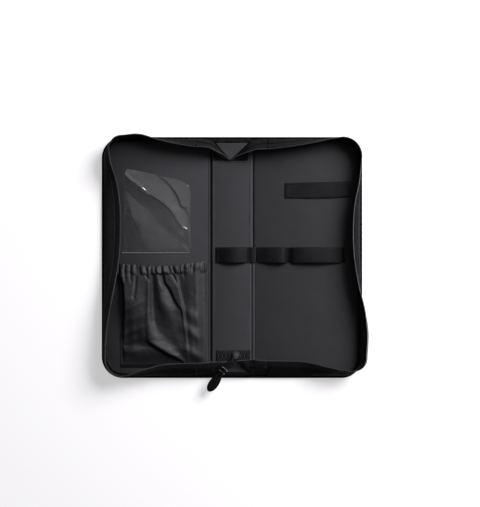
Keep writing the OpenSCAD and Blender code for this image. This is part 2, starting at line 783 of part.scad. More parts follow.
// Leather tab: a leaf folded round the ring's far bar
tab_turn = 6;
tab_thickness = 2;
fold_radius = 1.9;
fold_width = ring_inside - 0.8;
module pull_tab() {
  w = tab_width / 2;
  l = tab_length - 6;
  side = [[0.4, fold_width / 2], [0.08 * l, fold_width / 2], [0.2 * l, 0.6 * w], [0.36 * l, 0.86 * w],
    [0.54 * l, w], [0.7 * l, 0.98 * w], [0.83 * l, 0.84 * w], [0.93 * l, 0.58 * w],
    [0.985 * l, 0.26 * w]];
  color(leather)
    at_ring()
      translate([ring_reach, 0, 0])
        difference() {
          union() {
            cross_bar(0, fold_radius, fold_width);
            rotate([0, 0, tab_turn])
              translate([0, 0, -tab_thickness / 2])
                linear_extrude(tab_thickness)
                  polygon(concat([for (p = side) [p[0], -p[1]]],
                    [for (p = reversed(side)) p]));
          }
          cross_bar(0, ring_wire + seam_gap, fold_width + 2);
        }
}

// Small rivet that closes the tab's fold behind the ring
module tab_rivet() {
  color(metal)
    at_ring()
      translate([ring_reach, 0, tab_thickness / 2 + seam_gap])
        rotate([0, 0, tab_turn])
          translate([4.6, 0, 0])
            cylinder(r = 1.4, h = 0.7, $fn = 24);
}

spine_skin();
spine_board();
spine_lining();
spine_loop();
spine_piping();
end_band_top();
end_band_bottom();
end_gusset_top();
end_gusset_bottom();
end_patch();
end_stitches();
fold_strip_left();
fold_strip_right();
band_bridge();
end_fold_top_left();
end_fold_top_right();
end_fold_bottom_left();
end_fold_bottom_right();
left_skin();
left_board();
left_lining();
left_piping();
left_wall();
left_zip_tape();
left_zip_coil();
card_window();
window_stitches();
gathered_pocket();
pocket_casing();
pocket_hem();
right_skin();
right_board();
right_lining();
right_piping();
right_wall();
right_zip_tape();
right_zip_coil();
upper_strap();
small_loop();
large_loop();
band_tacks();
zip_slider();
puller();
pull_ring();
pull_tab();
tab_rivet();
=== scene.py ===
"""The soft instrument case, dressed: shells, padded lining, zip, elastic, film, pocket and leather tab.

Lengths in this script are millimetres, in the part's own frame, until new_piece writes them as metres.
"""

import math

import bmesh
import bpy
import numpy as np
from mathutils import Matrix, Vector, noise


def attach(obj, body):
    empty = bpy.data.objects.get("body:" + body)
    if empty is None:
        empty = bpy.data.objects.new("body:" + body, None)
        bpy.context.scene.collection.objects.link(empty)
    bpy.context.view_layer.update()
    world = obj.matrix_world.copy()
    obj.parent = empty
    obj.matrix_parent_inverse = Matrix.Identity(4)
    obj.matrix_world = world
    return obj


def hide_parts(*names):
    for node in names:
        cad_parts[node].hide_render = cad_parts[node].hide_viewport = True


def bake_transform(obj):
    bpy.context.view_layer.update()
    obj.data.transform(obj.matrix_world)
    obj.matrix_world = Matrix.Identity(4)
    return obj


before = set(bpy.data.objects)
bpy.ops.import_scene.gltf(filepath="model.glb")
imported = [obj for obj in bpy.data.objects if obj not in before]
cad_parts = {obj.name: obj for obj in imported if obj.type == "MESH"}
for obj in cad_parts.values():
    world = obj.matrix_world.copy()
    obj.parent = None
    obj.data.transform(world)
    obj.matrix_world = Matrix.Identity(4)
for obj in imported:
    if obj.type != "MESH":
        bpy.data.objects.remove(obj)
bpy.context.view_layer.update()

MM = 0.001

# Driving sizes of the case, as in part.scad
HALF_LENGTH = 154.0
FOLD_X = 26.5
COVER_WIDTH = 140.0
CORNER_RADIUS = 27.0
WALL_SLOPE = 28.5
SKIN = 1.2
BOARD = 1.8
LINING = 1.4
WALL = 1.1
PIPING = 1.4
COIL = 1.0
BAND = 20.0
BAND_THICKNESS = 1.2
STACK = SKIN + BOARD + LINING
FOLD_Z = STACK / 2
FOLD_BACK = STACK - FOLD_Z + 0.2
OUTER_X = FOLD_X + COVER_WIDTH
# Centre of a cover's round corners
CORNER_X = OUTER_X - CORNER_RADIUS
CORNER_Y = HALF_LENGTH - CORNER_RADIUS
SPINE_EDGE = FOLD_X - FOLD_BACK
COVER_EDGE = FOLD_X + FOLD_BACK
SKIN_INSET = 2 * PIPING
WALL_INSET = SKIN_INSET + 0.25 + WALL / 2
LINING_INSET = WALL_INSET + WALL / 2 + 1.4
# The walls start 1.4 mm further out than in part.scad, clear of the folded-in ends
WALL_START = FOLD_X + 18.4
# Height at which a wall's edge meets the other wall's over the spine when the case is closed
FREE_HEIGHT = FOLD_X + FOLD_Z - SKIN - COIL - 0.35
# Shares of the wall's slope at the cloth's hem and at the tape's edge
CLOTH_SHARE = 0.74
TAPE_SHARE = 0.958
# How far each wall leans inwards, as a share of its slope, along its top, side and bottom runs
RIGHT_LEAN = (
    (0.61, 0.53, 0.41, 0.25, 0.1),
    (0.12, 0.24, 0.45, 0.505, 0.455, 0.28, 0.01, -0.15, -0.1),
    (0.45, 0.62, 0.78, 0.815, 0.825),
)
LEFT_LEAN = (
    (0.52, 0.4, 0.22, -0.02, 0.03),
    (0.46, 0.74, 0.88, 0.888, 0.83, 0.68, 0.49, 0.33, 0.28),
    (0.16, 0.4, 0.63, 0.7, 0.72),
)
# The upright bands and the folded-in triangles at the spine's ends
BAND_FOOT = HALF_LENGTH - WALL_INSET
BAND_TOP = 9.2
BAND_LEAN = 3.4
GUSSET_BACK = BAND_FOOT - BAND_LEAN - WALL / 2 - 0.6
GUSSET_Z = BAND_TOP - 1.2
GUSSET_REACH = 21.0
TOP_TIP = np.array((-2.0, HALF_LENGTH - 29.2, 6.6))
BOTTOM_TIP = np.array((5.0, HALF_LENGTH - 20.6, 7.2))


def mix(a, b, t):
    return a + (b - a) * t


def ease(t):
    t = np.clip(t, 0.0, 1.0)
    return t * t * (3 - 2 * t)


def curve(values, t):
    """A smooth curve through evenly spaced values or points, at t from 0 to 1."""
    last = len(values) - 1
    place = min(last - 1e-4, max(0.0, t * last))
    i = int(place)
    r = place - i
    a, b, c, d = (np.asarray(values[k], float) for k in (max(0, i - 1), i, i + 1, min(last, i + 2)))
    return 0.5 * (2 * b + (c - a) * r + (2 * a - 5 * b + 4 * c - d) * r**2 + (3 * b - a - 3 * c + d) * r**3)


def wander(x, y, size, seed=0.0):
    """Smooth noise from about -1 to 1 whose waves are about size millimetres long."""
    return noise.noise(Vector((x / size, y / size, seed)))


# The same noise at every place of a row or grid
waves = np.vectorize(wander)


def edge_spaced(low, high, step, edge=(0.0, 0.15, 0.4, 0.75, 1.2, 1.9, 3.0)):
    """Places from low to high, step apart, and closer together near both ends."""
    reach = edge[-1]
    count = max(2, round((high - low - 2 * reach) / step))
    middle = np.linspace(low + reach, high - reach, count + 1)[1:-1]
    return np.concatenate([[low + e for e in edge], middle, [high - e for e in reversed(edge)]])


def in_scene(name, data):
    obj = bpy.data.objects.new(name, data)
    bpy.context.scene.collection.objects.link(obj)
    return obj


def new_piece(name, points, faces, material, uvs):
    """A smooth closed mesh object from points in millimetres.

    uvs holds a place on the cloth for each corner of each face."""
    mesh = bpy.data.meshes.new(name)
    mesh.from_pydata([tuple(float(v) * MM for v in p) for p in points], [], faces)
    layer = mesh.uv_layers.new(name="cloth")
    layer.data.foreach_set("uv", np.asarray(uvs, np.float32).ravel() * MM)
    mesh.materials.append(material)
    mesh.polygons.foreach_set("use_smooth", [True] * len(mesh.polygons))
    shape = bmesh.new()
    shape.from_mesh(mesh)
    bmesh.ops.recalc_face_normals(shape, faces=shape.faces)
    shape.to_mesh(mesh)
    shape.free()
    return in_scene(name, mesh)


def lengths(line):
    """How far each point of a line is along it."""
    steps = np.linalg.norm(np.diff(line, axis=0), axis=1)
    return np.concatenate([[0.0], np.cumsum(steps)])


def loft_data(rings, cap="strip"):
    """Points, faces and face-corner places of a closed skin through rings of points.

    A strip cap joins each ring's way out to its way back, a round cap is one face."""
    rings = np.asarray(rings, float)
    n, m = rings.shape[:2]
    along = lengths(rings.mean(axis=1))
    middle = rings[n // 2]
    around = lengths(np.vstack([middle, middle[:1]]))
    faces, uvs = [], []
    for i in range(n - 1):
        for j in range(m):
            k = (j + 1) % m
            faces.append((i * m + j, i * m + k, (i + 1) * m + k, (i + 1) * m + j))
            uvs += [(along[i + p], around[j + q]) for p, q in ((0, 0), (0, 1), (1, 1), (1, 0))]
    for base in (0, (n - 1) * m):
        if cap == "round":
            faces.append(tuple(base + j for j in range(m)))
            uvs += [(0.0, 0.0)] * m
        elif cap == "strip":
            for j in range(m // 2 - 1):
                faces.append((base + j, base + j + 1, base + m - 2 - j, base + m - 1 - j))
                uvs += [(0.0, around[j])] * 4
    return rings.reshape(-1, 3), faces, uvs


def loft(name, rings, material, cap="strip"):
    points, faces, uvs = loft_data(rings, cap)
    return new_piece(name, points, faces, material, uvs)


def joined(name, parts, material):
    """One piece from several closed skins, each as loft_data gives it."""
    points, faces, uvs = [], [], []
    for part_points, part_faces, part_uvs in parts:
        base = len(points)
        points += [tuple(p) for p in part_points]
        faces += [tuple(base + i for i in f) for f in part_faces]
        uvs += part_uvs
    return new_piece(name, points, faces, material, uvs)


def slab(name, x, y, top, bottom, material):
    """A closed pad from grids of x, y, top and bottom heights, with one row per line of the grid."""
    x, y, top, bottom = np.broadcast_arrays(x, y, top, bottom)
    above, below = np.dstack([x, y, top]), np.dstack([x, y, bottom])
    return loft(name, np.hstack([above, below[:, ::-1]]), material)


def tube_rings(line, radius, sides=10):
    """Rings round a line of points, turned as little as possible from one to the next."""
    line = np.asarray(line, float)
    radii = np.broadcast_to(radius, len(line))
    tangents = np.gradient(line, axis=0)
    tangents /= np.linalg.norm(tangents, axis=1)[:, None]
    start = np.array((0.0, 0.0, 1.0)) if abs(tangents[0][2]) < 0.9 else np.array((1.0, 0.0, 0.0))
    normal = start - tangents[0] * (start @ tangents[0])
    rings = []
    for point, tangent, r in zip(line, tangents, radii):
        normal = normal - tangent * (normal @ tangent)
        normal /= np.linalg.norm(normal)
        other = np.cross(tangent, normal)
        angles = [2 * math.pi * k / sides for k in range(sides)]
        rings.append([point + r * (math.cos(a) * normal + math.sin(a) * other) for a in angles])
    return np.array(rings)


# A stitch's shape: shares of its length and how full it is there
STITCH_SHAPE = ((0.0, 0.25), (0.12, 0.75), (0.35, 1.0), (0.65, 1.0), (0.88, 0.75), (1.0, 0.25))


def stitch_parts(line, normals, length, gap, width, rise):
    """Rounded stitches along a line, each lying on the cloth whose outward directions are normals."""
    line, normals = np.asarray(line, float), np.asarray(normals, float)
    far = lengths(line)
    angles = [math.pi * k / 3 for k in range(6)]

    def at(values, s):
        return np.array([np.interp(s, far, values[:, k]) for k in range(3)])

    parts = []
    for c in range(int((far[-1] + gap) // (length + gap))):
        rings = []
        for share, size in STITCH_SHAPE:
            s = c * (length + gap) + share * length
            point, up = at(line, s), at(normals, s)
            across = np.cross(up, at(line, s + 0.5) - at(line, s - 0.5))
            across *= width / 2 / max(1e-9, np.linalg.norm(across))
            up *= rise / max(1e-9, np.linalg.norm(up))
            rings.append([point + size * (math.cos(a) * across + math.sin(a) * up) for a in angles])
        parts.append(loft_data(rings, "round"))
    return parts


def flat_stitches(line, *sizes):
    """Stitches on level cloth."""
    return stitch_parts(line, [(0, 0, 1)] * len(line), *sizes)


class Nodes:
    """Adds nodes to the tree of a material or of the world."""

    def __init__(self, tree):
        self.tree = tree

    def add(self, kind, inputs=None, **settings):
        made = self.tree.nodes.new("ShaderNode" + kind)
        for key, value in settings.items():
            setattr(made, key, value)
        for key, value in (inputs or {}).items():
            if isinstance(value, bpy.types.NodeSocket):
                self.tree.links.new(value, made.inputs[key])
            else:
                made.inputs[key].default_value = value
        return made

    def math(self, operation, a, b=0.0, c=0.0):
        return self.add("Math", {0: a, 1: b, 2: c}, operation=operation).outputs[0]

    def ramp(self, value, low, high, to_low, to_high, **settings):
        ends = {"From Min": low, "From Max": high, "To Min": to_low, "To Max": to_high}
        return self.add("MapRange", {"Value": value, **ends}, **settings).outputs["Result"]


class Material(Nodes):
    """A Principled material. Its patterns read the piece's cloth map, which is in metres."""

    def __init__(self, name, roughness, specular, **plain):
        self.data = bpy.data.materials.new(name)
        self.data.use_nodes = True
        super().__init__(self.data.node_tree)
        self.shader = self.tree.nodes["Principled BSDF"]
        self.shader.inputs["Roughness"].default_value = roughness
        self.shader.inputs["Specular IOR Level"].default_value = specular
        for key, value in plain.items():
            self.shader.inputs[key.replace("_", " ")].default_value = value

    def link(self, socket, name):
        self.tree.links.new(socket, self.shader.inputs[name])

    def coordinates(self):
        """A point's x, y and z in the part's frame, in metres."""
        return self.add("SeparateXYZ", {0: self.add("TexCoord").outputs["Object"]}).outputs

    def cloth_axes(self):
        """The cloth map's two directions, in metres."""
        if not hasattr(self, "axes"):
            split = self.add("SeparateXYZ", {0: self.add("UVMap", uv_map="cloth").outputs[0]})
            self.axes = split.outputs[0], split.outputs[1]
        return self.axes

    def wave(self, axis, pitch):
        return self.math("SINE", self.math("MULTIPLY", axis, 2 * math.pi / (pitch * MM)))

    def weave(self, pitch):
        """Plain weave: threads that pass over and under each other."""
        u, v = self.cloth_axes()
        return self.math("MULTIPLY", self.wave(u, pitch), self.wave(v, pitch))

    def speckle(self, size, detail=3.0):
        """Noise from 0 to 1 whose spots are about size millimetres wide."""
        place = self.add("TexCoord").outputs["Object"]
        sizes = {"Scale": 1 / (size * MM), "Detail": detail, "Roughness": 0.55}
        return self.add("TexNoise", {"Vector": place, **sizes}).outputs["Fac"]

    def colour(self, factor, dark, light):
        """Sets the colour between dark and light by factor."""
        blend = self.add("Mix", {"Factor": factor, 6: (*dark, 1.0), 7: (*light, 1.0)}, data_type="RGBA")
        self.link(blend.outputs[2], "Base Color")

    def rough(self, low, high, *spots):
        """Roughness from low to high, in spots of a size and detail as speckle takes them."""
        self.link(self.ramp(self.speckle(*spots), 0.3, 0.7, low, high), "Roughness")

    def bump(self, layers):
        """Raises the surface by layers of (height from -1 to 1, millimetres)."""
        made = None
        for height, depth in layers:
            below = {"Normal": made.outputs[0]} if made else {}
            made = self.add("Bump", {"Height": height, "Strength": 1.0, "Distance": depth * MM, **below})
        self.link(made.outputs[0], "Normal")


def grey(level, cool=0.03):
    """A near-neutral colour, a little blue."""
    return (level, level * (1 + cool * 0.2), level * (1 + cool * 1.2))


def outer_cloth_material(name, painted_side_light=False):
    """Black cloth. On request it is painted greyer at the case's two sides than at its ends: painted light,
    standing in for the fill light on the side walls.
    """
    m = Material(name, 0.85, 0.03)
    spots = m.ramp(m.speckle(5, 4), 0.35, 0.7, 0, 1)
    if painted_side_light:
        # Painted light: a ramp across the case lightens the side walls as fill light would.
        sides = m.ramp(m.math("ABSOLUTE", m.coordinates()[0]), 118 * MM, 150 * MM, 0.0, 0.75)
        m.colour(m.math("MULTIPLY_ADD", spots, 0.25, sides), grey(0.005), grey(0.026))
    else:
        m.colour(spots, grey(0.005), grey(0.014))
    m.rough(0.74, 0.92, 3)
    m.bump([(m.speckle(16, 2), 0.7), (m.weave(1.1), 0.07), (m.speckle(0.35), 0.05)])
    return m.data


def lining_material(name, start, low, end, high):
    """Lining with painted light: its grey goes from low at start to high at end across the case, standing in
    for the light's falloff across the panel, with random patches.
    """
    m = Material(name, 0.55, 0.12)
    # Painted light: the grey ramps across the case as the lamp's light falls off.
    painted_falloff = m.ramp(m.coordinates()[0], start * MM, end * MM, 0.0, 0.86)
    m.colour(m.math("MULTIPLY_ADD", m.speckle(30, 4), 0.28, painted_falloff), grey(low * 0.9, 0.05), grey(high, 0.05))
    m.rough(0.5, 0.62, 9, 4)
    u, v = m.cloth_axes()
    fine = m.math("ADD", m.wave(u, 0.55), m.wave(v, 0.55))
    m.bump([(m.speckle(40, 2), 1.0), (fine, 0.012), (m.speckle(0.5), 0.03)])
    return m.data


def tape_material():
    m = Material("zip_tape", 0.8, 0.1)
    u, v = m.cloth_axes()
    zigzag = m.math("PINGPONG", v, 0.9 * MM)
    ribs = m.wave(m.math("ADD", u, zigzag), 0.9)
    m.colour(m.ramp(ribs, -1, 1, 0, 1), grey(0.005), grey(0.011))
    m.bump([(m.speckle(12, 2), 0.3), (ribs, 0.08)])
    return m.data


def coil_material():
    """Nylon with painted light: a painted highlight makes it paler along the right wall, and towards the
    case's top and bottom it is rougher and painted darker as shade.
    """
    m = Material("zip_coil", 0.38, 0.66)
    x, y, _ = m.coordinates()
    # Painted shade, with more roughness, towards the case's top and bottom.
    rough_and_shaded_ends = m.ramp(m.math("ABSOLUTE", y), 120 * MM, 140 * MM, 0.0, 1.0)
    # Painted highlight along the right wall.
    painted_highlight = m.math("MULTIPLY", m.ramp(x, 100 * MM, 150 * MM, 0.3, 0.9), m.math("SUBTRACT", 1.0, rough_and_shaded_ends))
    m.colour(m.math("MULTIPLY_ADD", m.speckle(2), 0.15, painted_highlight), grey(0.01, 0.02), grey(0.09, 0.02))
    m.link(m.ramp(rough_and_shaded_ends, 0.0, 1.0, 0.36, 0.7), "Roughness")
    m.bump([(m.speckle(0.4), 0.03)])
    return m.data


def elastic_material():
    m = Material("elastic", 0.48, 0.13)
    u, v = m.cloth_axes()
    ribs, picks = m.wave(v, 1.35), m.wave(u, 0.7)
    height = m.math("MULTIPLY_ADD", picks, 0.35, ribs)
    m.colour(m.ramp(height, -1.2, 1.2, 0, 1), grey(0.004), grey(0.009))
    m.bump([(m.speckle(9, 2), 0.3), (height, 0.09)])
    return m.data


def pocket_material():
    m = Material("pocket_cloth", 0.52, 0.32, Anisotropic=0.3)
    m.colour(m.ramp(m.speckle(22, 3), 0.3, 0.7, 0, 1), grey(0.017, 0.05), grey(0.024, 0.05))
    u, v = m.cloth_axes()
    twill = m.wave(m.math("ADD", u, v), 0.5)
    m.rough(0.48, 0.58, 5)
    m.bump([(m.speckle(5, 3), 0.22), (twill, 0.012)])
    return m.data


def thread_material(name, dark, light, shine=0.4):
    m = Material(name, 0.6, shine)
    twist = m.wave(m.cloth_axes()[0], 0.5)
    m.colour(m.ramp(twist, -1, 1, 0, 1), grey(dark), grey(light))
    m.bump([(twist, 0.05)])
    return m.data


def metal_material(name, dark, light, rough=0.14):
    m = Material(name, rough, 0.5, Metallic=1.0)
    m.colour(m.ramp(m.speckle(1.5, 5), 0.35, 0.7, 0, 1), grey(dark, 0.02), grey(light, 0.02))
    m.rough(rough, rough + 0.2, 0.8, 4)
    m.bump([(m.speckle(0.5), 0.01)])
    return m.data


def leather_material():
    m = Material("leather", 0.5, 0.12)
    where = {"Vector": m.add("TexCoord").outputs["Object"], "Scale": 1 / (0.7 * MM)}
    cells = m.add("TexVoronoi", where, feature="DISTANCE_TO_EDGE").outputs["Distance"]
    grain = m.ramp(cells, 0.0, 0.25, 0, 1)
    m.colour(grain, grey(0.002), grey(0.005))
    m.rough(0.4, 0.6, 2)
    m.bump([(m.speckle(5, 2), 0.25), (grain, 0.06)])
    return m.data


def board_material():
    m = Material("board", 0.85, 0.2)
    m.colour(m.ramp(m.speckle(1.2, 5), 0.3, 0.7, 0, 1), (0.2, 0.19, 0.17), (0.3, 0.29, 0.27))
    m.bump([(m.speckle(0.8), 0.05)])
    return m.data


def film_material():
    """Clear soft vinyl, a little cloudy. Lamps shine through it to what lies under it."""
    m = Material("clear_film", 0.05, 0.5, IOR=1.5, Transmission_Weight=1.0)
    cloud = m.ramp(m.speckle(14, 3), 0.3, 0.7, 0.88, 1)
    # Painted shade: the film is greyer along its creases, standing in for the dark reflections of its sharp
    # bends.
    crease = m.add("Attribute", attribute_name="crease").outputs["Fac"]
    m.colour(m.math("SUBTRACT", cloud, crease), (0.28, 0.285, 0.275), (0.868, 0.874, 0.862))
    m.rough(0.03, 0.08, 8)
    m.bump([(m.speckle(12, 2), 0.12)])
    clear = m.add("BsdfTransparent", {"Color": (0.78, 0.783, 0.777, 1.0)}).outputs[0]
    shadow = m.add("LightPath").outputs["Is Shadow Ray"]
    both = m.add("MixShader", {0: shadow, 1: m.shader.outputs[0], 2: clear}).outputs[0]
    m.tree.links.new(both, m.tree.nodes["Material Output"].inputs["Surface"])
    return m.data


CLOTH = outer_cloth_material("outer_cloth")
# The walls' cloth, painted lighter on the side walls as fill light.
WALL_CLOTH = outer_cloth_material("wall_cloth", True)
# Each lining's grey ramp across its panel is painted light, standing in for the lamp's falloff and shading.
LINING_CLOTH = lining_material("lining", -24, 0.041, 24, 0.059)
LEFT_LINING = lining_material("lining_left", -156, 0.018, -70, 0.06)
RIGHT_LINING = lining_material("lining_right", 29, 0.032, 110, 0.042)
# Painted shade: a darker copy of the lining for the bottom triangle, which lies in shade.
PAINTED_SHADE_LINING = lining_material("lining_painted_shade", -20, 0.015, 20, 0.019)
TAPE_CLOTH = tape_material()
COIL_NYLON = coil_material()
ELASTIC = elastic_material()
POCKET_CLOTH = pocket_material()
# Near-black thread; its darkness also paints the shade in the pleats where the bar tacks lie.
DARK_THREAD = thread_material("dark_thread", 0.002, 0.005, 0.04)
SATIN_THREAD = thread_material("satin_thread", 0.03, 0.06)
PALE_THREAD = thread_material("pale_thread", 0.3, 0.5)
METAL = metal_material("metal", 0.06, 0.1)
SATIN_METAL = metal_material("metal_satin", 0.075, 0.105, 0.55)
BLACK_METAL = metal_material("metal_black", 0.012, 0.025)
LEATHER = leather_material()
BOARD_GREY = board_material()
FILM = film_material()


def mark(nodes):
    """Hides the CAD nodes that a piece stands for."""
    if nodes:
        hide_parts(*nodes)


def place(piece, body, slot, *nodes):
    """Puts a piece on its body."""
    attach(piece, body)
    mark(nodes)


def bend(piece, a, b, start, end, slot, *nodes):
    """Bakes a piece's place into its mesh and hides the nodes that it stands for. a, b, start, end and slot
    are not used.
    """
    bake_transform(piece)
    mark(nodes)


def sew(name, parts, thread, body, *nodes):
    """Puts rows of stitches on a body as one piece."""
    place(joined(name, parts, thread), body, "thread", *nodes)


def paint_node(node, material):
    """Gives its material to a CAD node that stays in sight."""
    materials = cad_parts[node].data.materials
    materials.clear()
    materials.append(material)


def cover_path(inset, start, lean, step):
    """Places round a cover: x, y, outward direction and the wall's lean, about step apart."""
    radius = CORNER_RADIUS - inset
    first, side, last = lean
    path = []

    def straight(x0, y0, x1, y1, out, leans, count):
        for t in np.arange(count) / count:
            path.append((mix(x0, x1, t), mix(y0, y1, t), *out, float(curve(leans, t))))

    def corner(middle, turned, lean_before, lean_after):
        count = max(6, round(math.pi / 2 * radius / min(step, 1.5)))
        for t in np.arange(count) / count:
            a = math.radians(turned - 90 * t)
            nx, ny = math.cos(a), math.sin(a)
            between = mix(lean_before, lean_after, float(ease(t)))
            path.append((CORNER_X + radius * nx, middle + radius * ny, nx, ny, between))

    x, y = CORNER_X + radius, CORNER_Y + radius
    runs = max(4, round((CORNER_X - start) / step))
    straight(start, y, CORNER_X, y, (0.0, 1.0), first, runs)
    corner(CORNER_Y, 90, first[-1], side[0])
    straight(x, CORNER_Y, x, -CORNER_Y, (1.0, 0.0), side, max(8, round(2 * CORNER_Y / step)))
    corner(-CORNER_Y, 0, side[-1], last[0])
    straight(CORNER_X, -y, start, -y, (0.0, -1.0), last, runs)
    path.append((start, -y, 0.0, -1.0, float(curve(last, 1.0))))
    return path


class WallSection:
    """The wall's curved slope at one place round a cover."""

    def __init__(self, station):
        self.x, self.y, self.nx, self.ny, lean = station
        inward = lean * WALL_SLOPE - WALL_INSET
        slack = 1 - 0.3 * float(ease((lean - 0.5) / 0.35))
        height = min(FREE_HEIGHT, slack * math.sqrt(max(1.0, WALL_SLOPE**2 - inward**2)))
        self.top = np.array((inward, height))
        self.belly = np.array((-0.03 * inward, 0.72 * height))
        self.u = np.linspace(0, 1, 11)
        self.far = lengths([self.slope(u) for u in self.u])

    def slope(self, u):
        """How far in and up the wall is at u."""
        return 2 * (1 - u) * u * self.belly + u * u * self.top

    def frame(self, share):
        """Place, outward direction and upward direction, a share of the way up."""
        u = share if share > 1 else float(np.interp(share * self.far[-1], self.far, self.u))
        inward, height = self.slope(u)
        ahead, up = (1 - u) * self.belly + u * (self.top - self.belly)
        size = math.hypot(ahead, up)
        point = np.array((self.x - self.nx * inward, self.y - self.ny * inward, SKIN + 0.05 + height))
        outward = np.array((self.nx * up, self.ny * up, ahead)) / size
        upward = np.array((-self.nx * ahead, -self.ny * ahead, up)) / size
        return point, outward, upward

    def point(self, share, offset):
        """A place on the slack cloth, offset to its outside. It ripples a little above its sewn foot."""
        place_on, outward, _ = self.frame(share)
        depth = 0.55 * math.sin(math.pi * min(1.0, share / 1.15)) ** 1.2
        ripple = depth * wander(self.x, self.y, 26, 3.1) * (1 if share < 0.9 else 0.8)
        return place_on + outward * (offset + ripple)


def mirrored(points, side):
    """Points of a right-hand piece, or of its mirror image on the left."""
    points = np.array(points, float)
    points[..., 0] *= side
    return points


def cover_wall(side, lean, body, nodes):
    """The standing wall, its hem, the zip tape above it and the rows of stitches between."""
    wall_node, tape_node, coil_node = nodes
    sections = [WallSection(s) for s in cover_path(WALL_INSET, WALL_START, lean, 2.4)]
    hem_shares = (0, 0.04, 0.1, 0.2, 0.32, 0.45, 0.58, 0.7, 0.8, 0.87, 0.91, 0.95, 0.985, 1)
    low = CLOTH_SHARE - 0.012

    def wall_half(share):
        hem = ease((share / CLOTH_SHARE - 0.84) / 0.06) * 0.32
        tuck = 0.16 * math.exp(-(((share / CLOTH_SHARE - 0.925) / 0.02) ** 2))
        end = 0.3 * ease((share / CLOTH_SHARE - 0.975) / 0.025)
        return WALL / 2 + hem - tuck - end

    def tape_half(share):
        return 0.28 + 0.12 * math.exp(-(((share - 0.905) / 0.006) ** 2))

    def two_sided(name, shares, half, material):
        rings = [
            [s.point(u, half(u)) for u in shares] + [s.point(u, -half(u)) for u in reversed(shares)]
            for s in sections
        ]
        return loft(body + name, mirrored(rings, side), material)

    wall = two_sided("_side_wall", [CLOTH_SHARE * t for t in hem_shares], wall_half, WALL_CLOTH)
    place(wall, body, "outer_cloth", wall_node)
    tape_shares = [mix(low, TAPE_SHARE, t) for t in (0, 0.2, 0.4, 0.6, 0.8, 0.93, 1)]
    place(two_sided("_tape", tape_shares, tape_half, TAPE_CLOTH), body, "zip_tape", tape_node)

    seam = CLOTH_SHARE * 0.925
    stitches = []
    for face in (1, -1):
        line = mirrored([s.point(seam, face * (wall_half(seam) + 0.02)) for s in sections], side)
        normals = mirrored([s.frame(seam)[1] * face for s in sections], side)
        stitches += stitch_parts(line, normals, 2.6, 0.9, 0.55, 0.2)
    sew(body + "_wall_stitches", stitches, DARK_THREAD, body)

    centre = mirrored([s.point(1.0, 0.0) for s in sections], side)
    outward, upward = (mirrored([s.frame(1.0)[k] for s in sections], side) for k in (1, 2))
    place(zip_coil(body + "_coil", centre, outward, upward), body, "zip_coil", coil_node)


# The coil's pitch in millimetres, and the points in each turn of its thread
COIL_PITCH = 1.35
COIL_TURN = 8


def zip_coil(name, centre, outward, upward):
    """Half a zip's nylon coil along a line, wound round its core cord."""
    far = lengths(centre)
    count = int(far[-1] / COIL_PITCH) * COIL_TURN
    s = np.linspace(0.3, far[-1] - 0.3, count + 1)

    def along(values):
        return np.column_stack([np.interp(s, far, values[:, k]) for k in range(3)])

    middle = along(centre)
    angle = 2 * math.pi * np.arange(len(s))[:, None] / COIL_TURN
    wound = middle + 0.6 * np.cos(angle) * along(outward) + 0.66 * np.sin(angle) * along(upward)
    core = middle[:: COIL_TURN // 2]
    parts = [loft_data(tube_rings(wound, 0.3, 4), "round"), loft_data(tube_rings(core, 0.42, 6), "round")]
    return joined(name, parts, COIL_NYLON)


def outline_distance(x, y, inset):
    """How far a place on a cover's panel is from the panel's edge."""
    straight = min(x - COVER_EDGE, OUTER_X - inset - x, HALF_LENGTH - inset - abs(y))
    if x > CORNER_X and abs(y) > CORNER_Y:
        return min(straight, CORNER_RADIUS - inset - math.hypot(x - CORNER_X, abs(y) - CORNER_Y))
    return straight


def rolled(d, reach, drop):
    """Drop of a padded edge at d from its edge."""
    t = np.clip(d / reach, 0.0, 1.0)
    return drop * (1 - np.sqrt(1 - (1 - t) ** 2))


def padded_panel(name, x, y, d, wave, bottom, top, material, roll):
    """A panel from each place's distance to its edge. roll is its rounded edge's width and depth."""
    low = bottom if bottom > 0 else rolled(d, 1.0, 0.45)
    return slab(name, x, y, top - rolled(d, *roll) + wave, low, material)


def cover_panel(name, side, inset, *layer):
    """A cover's panel with round outer corners."""
    radius, reach = CORNER_RADIUS - inset, HALF_LENGTH - inset
    corner = np.linspace(3.0, radius, 16)[1:]
    rows = np.concatenate([edge_spaced(-reach, reach, 4.0), reach - corner, corner - reach])
    rows = np.unique(np.round(rows, 3))
    shares = np.linspace(0, 1, len(edge_spaced(COVER_EDGE, OUTER_X - inset, 4.0)))
    xs = []
    for y in rows:
        over = max(0.0, abs(y) - CORNER_Y)
        row = edge_spaced(COVER_EDGE, CORNER_X + math.sqrt(max(0.0, radius**2 - over**2)), 4.0)
        xs.append(np.interp(shares, np.linspace(0, 1, len(row)), row))
    x, y = np.broadcast_arrays(np.array(xs), rows[:, None])
    d = np.vectorize(outline_distance)(x, y, inset)
    wave = 0.12 * waves(x, y, 34, side * 5.0) * ease(d / 6)
    return padded_panel(name, x * side, y, d, wave, *layer)


def spine_panel(name, inset, *layer):
    """The spine's panel between the two folds."""
    reach = HALF_LENGTH - inset
    x, y = np.meshgrid(edge_spaced(-SPINE_EDGE, SPINE_EDGE, 3.0), edge_spaced(-reach, reach, 5.0))
    d = np.minimum(SPINE_EDGE - abs(x), reach - abs(y))
    wave = 0.1 * waves(x, y, 30, 1.7) * ease(d / 5)
    return padded_panel(name, x, y, d, wave, *layer)


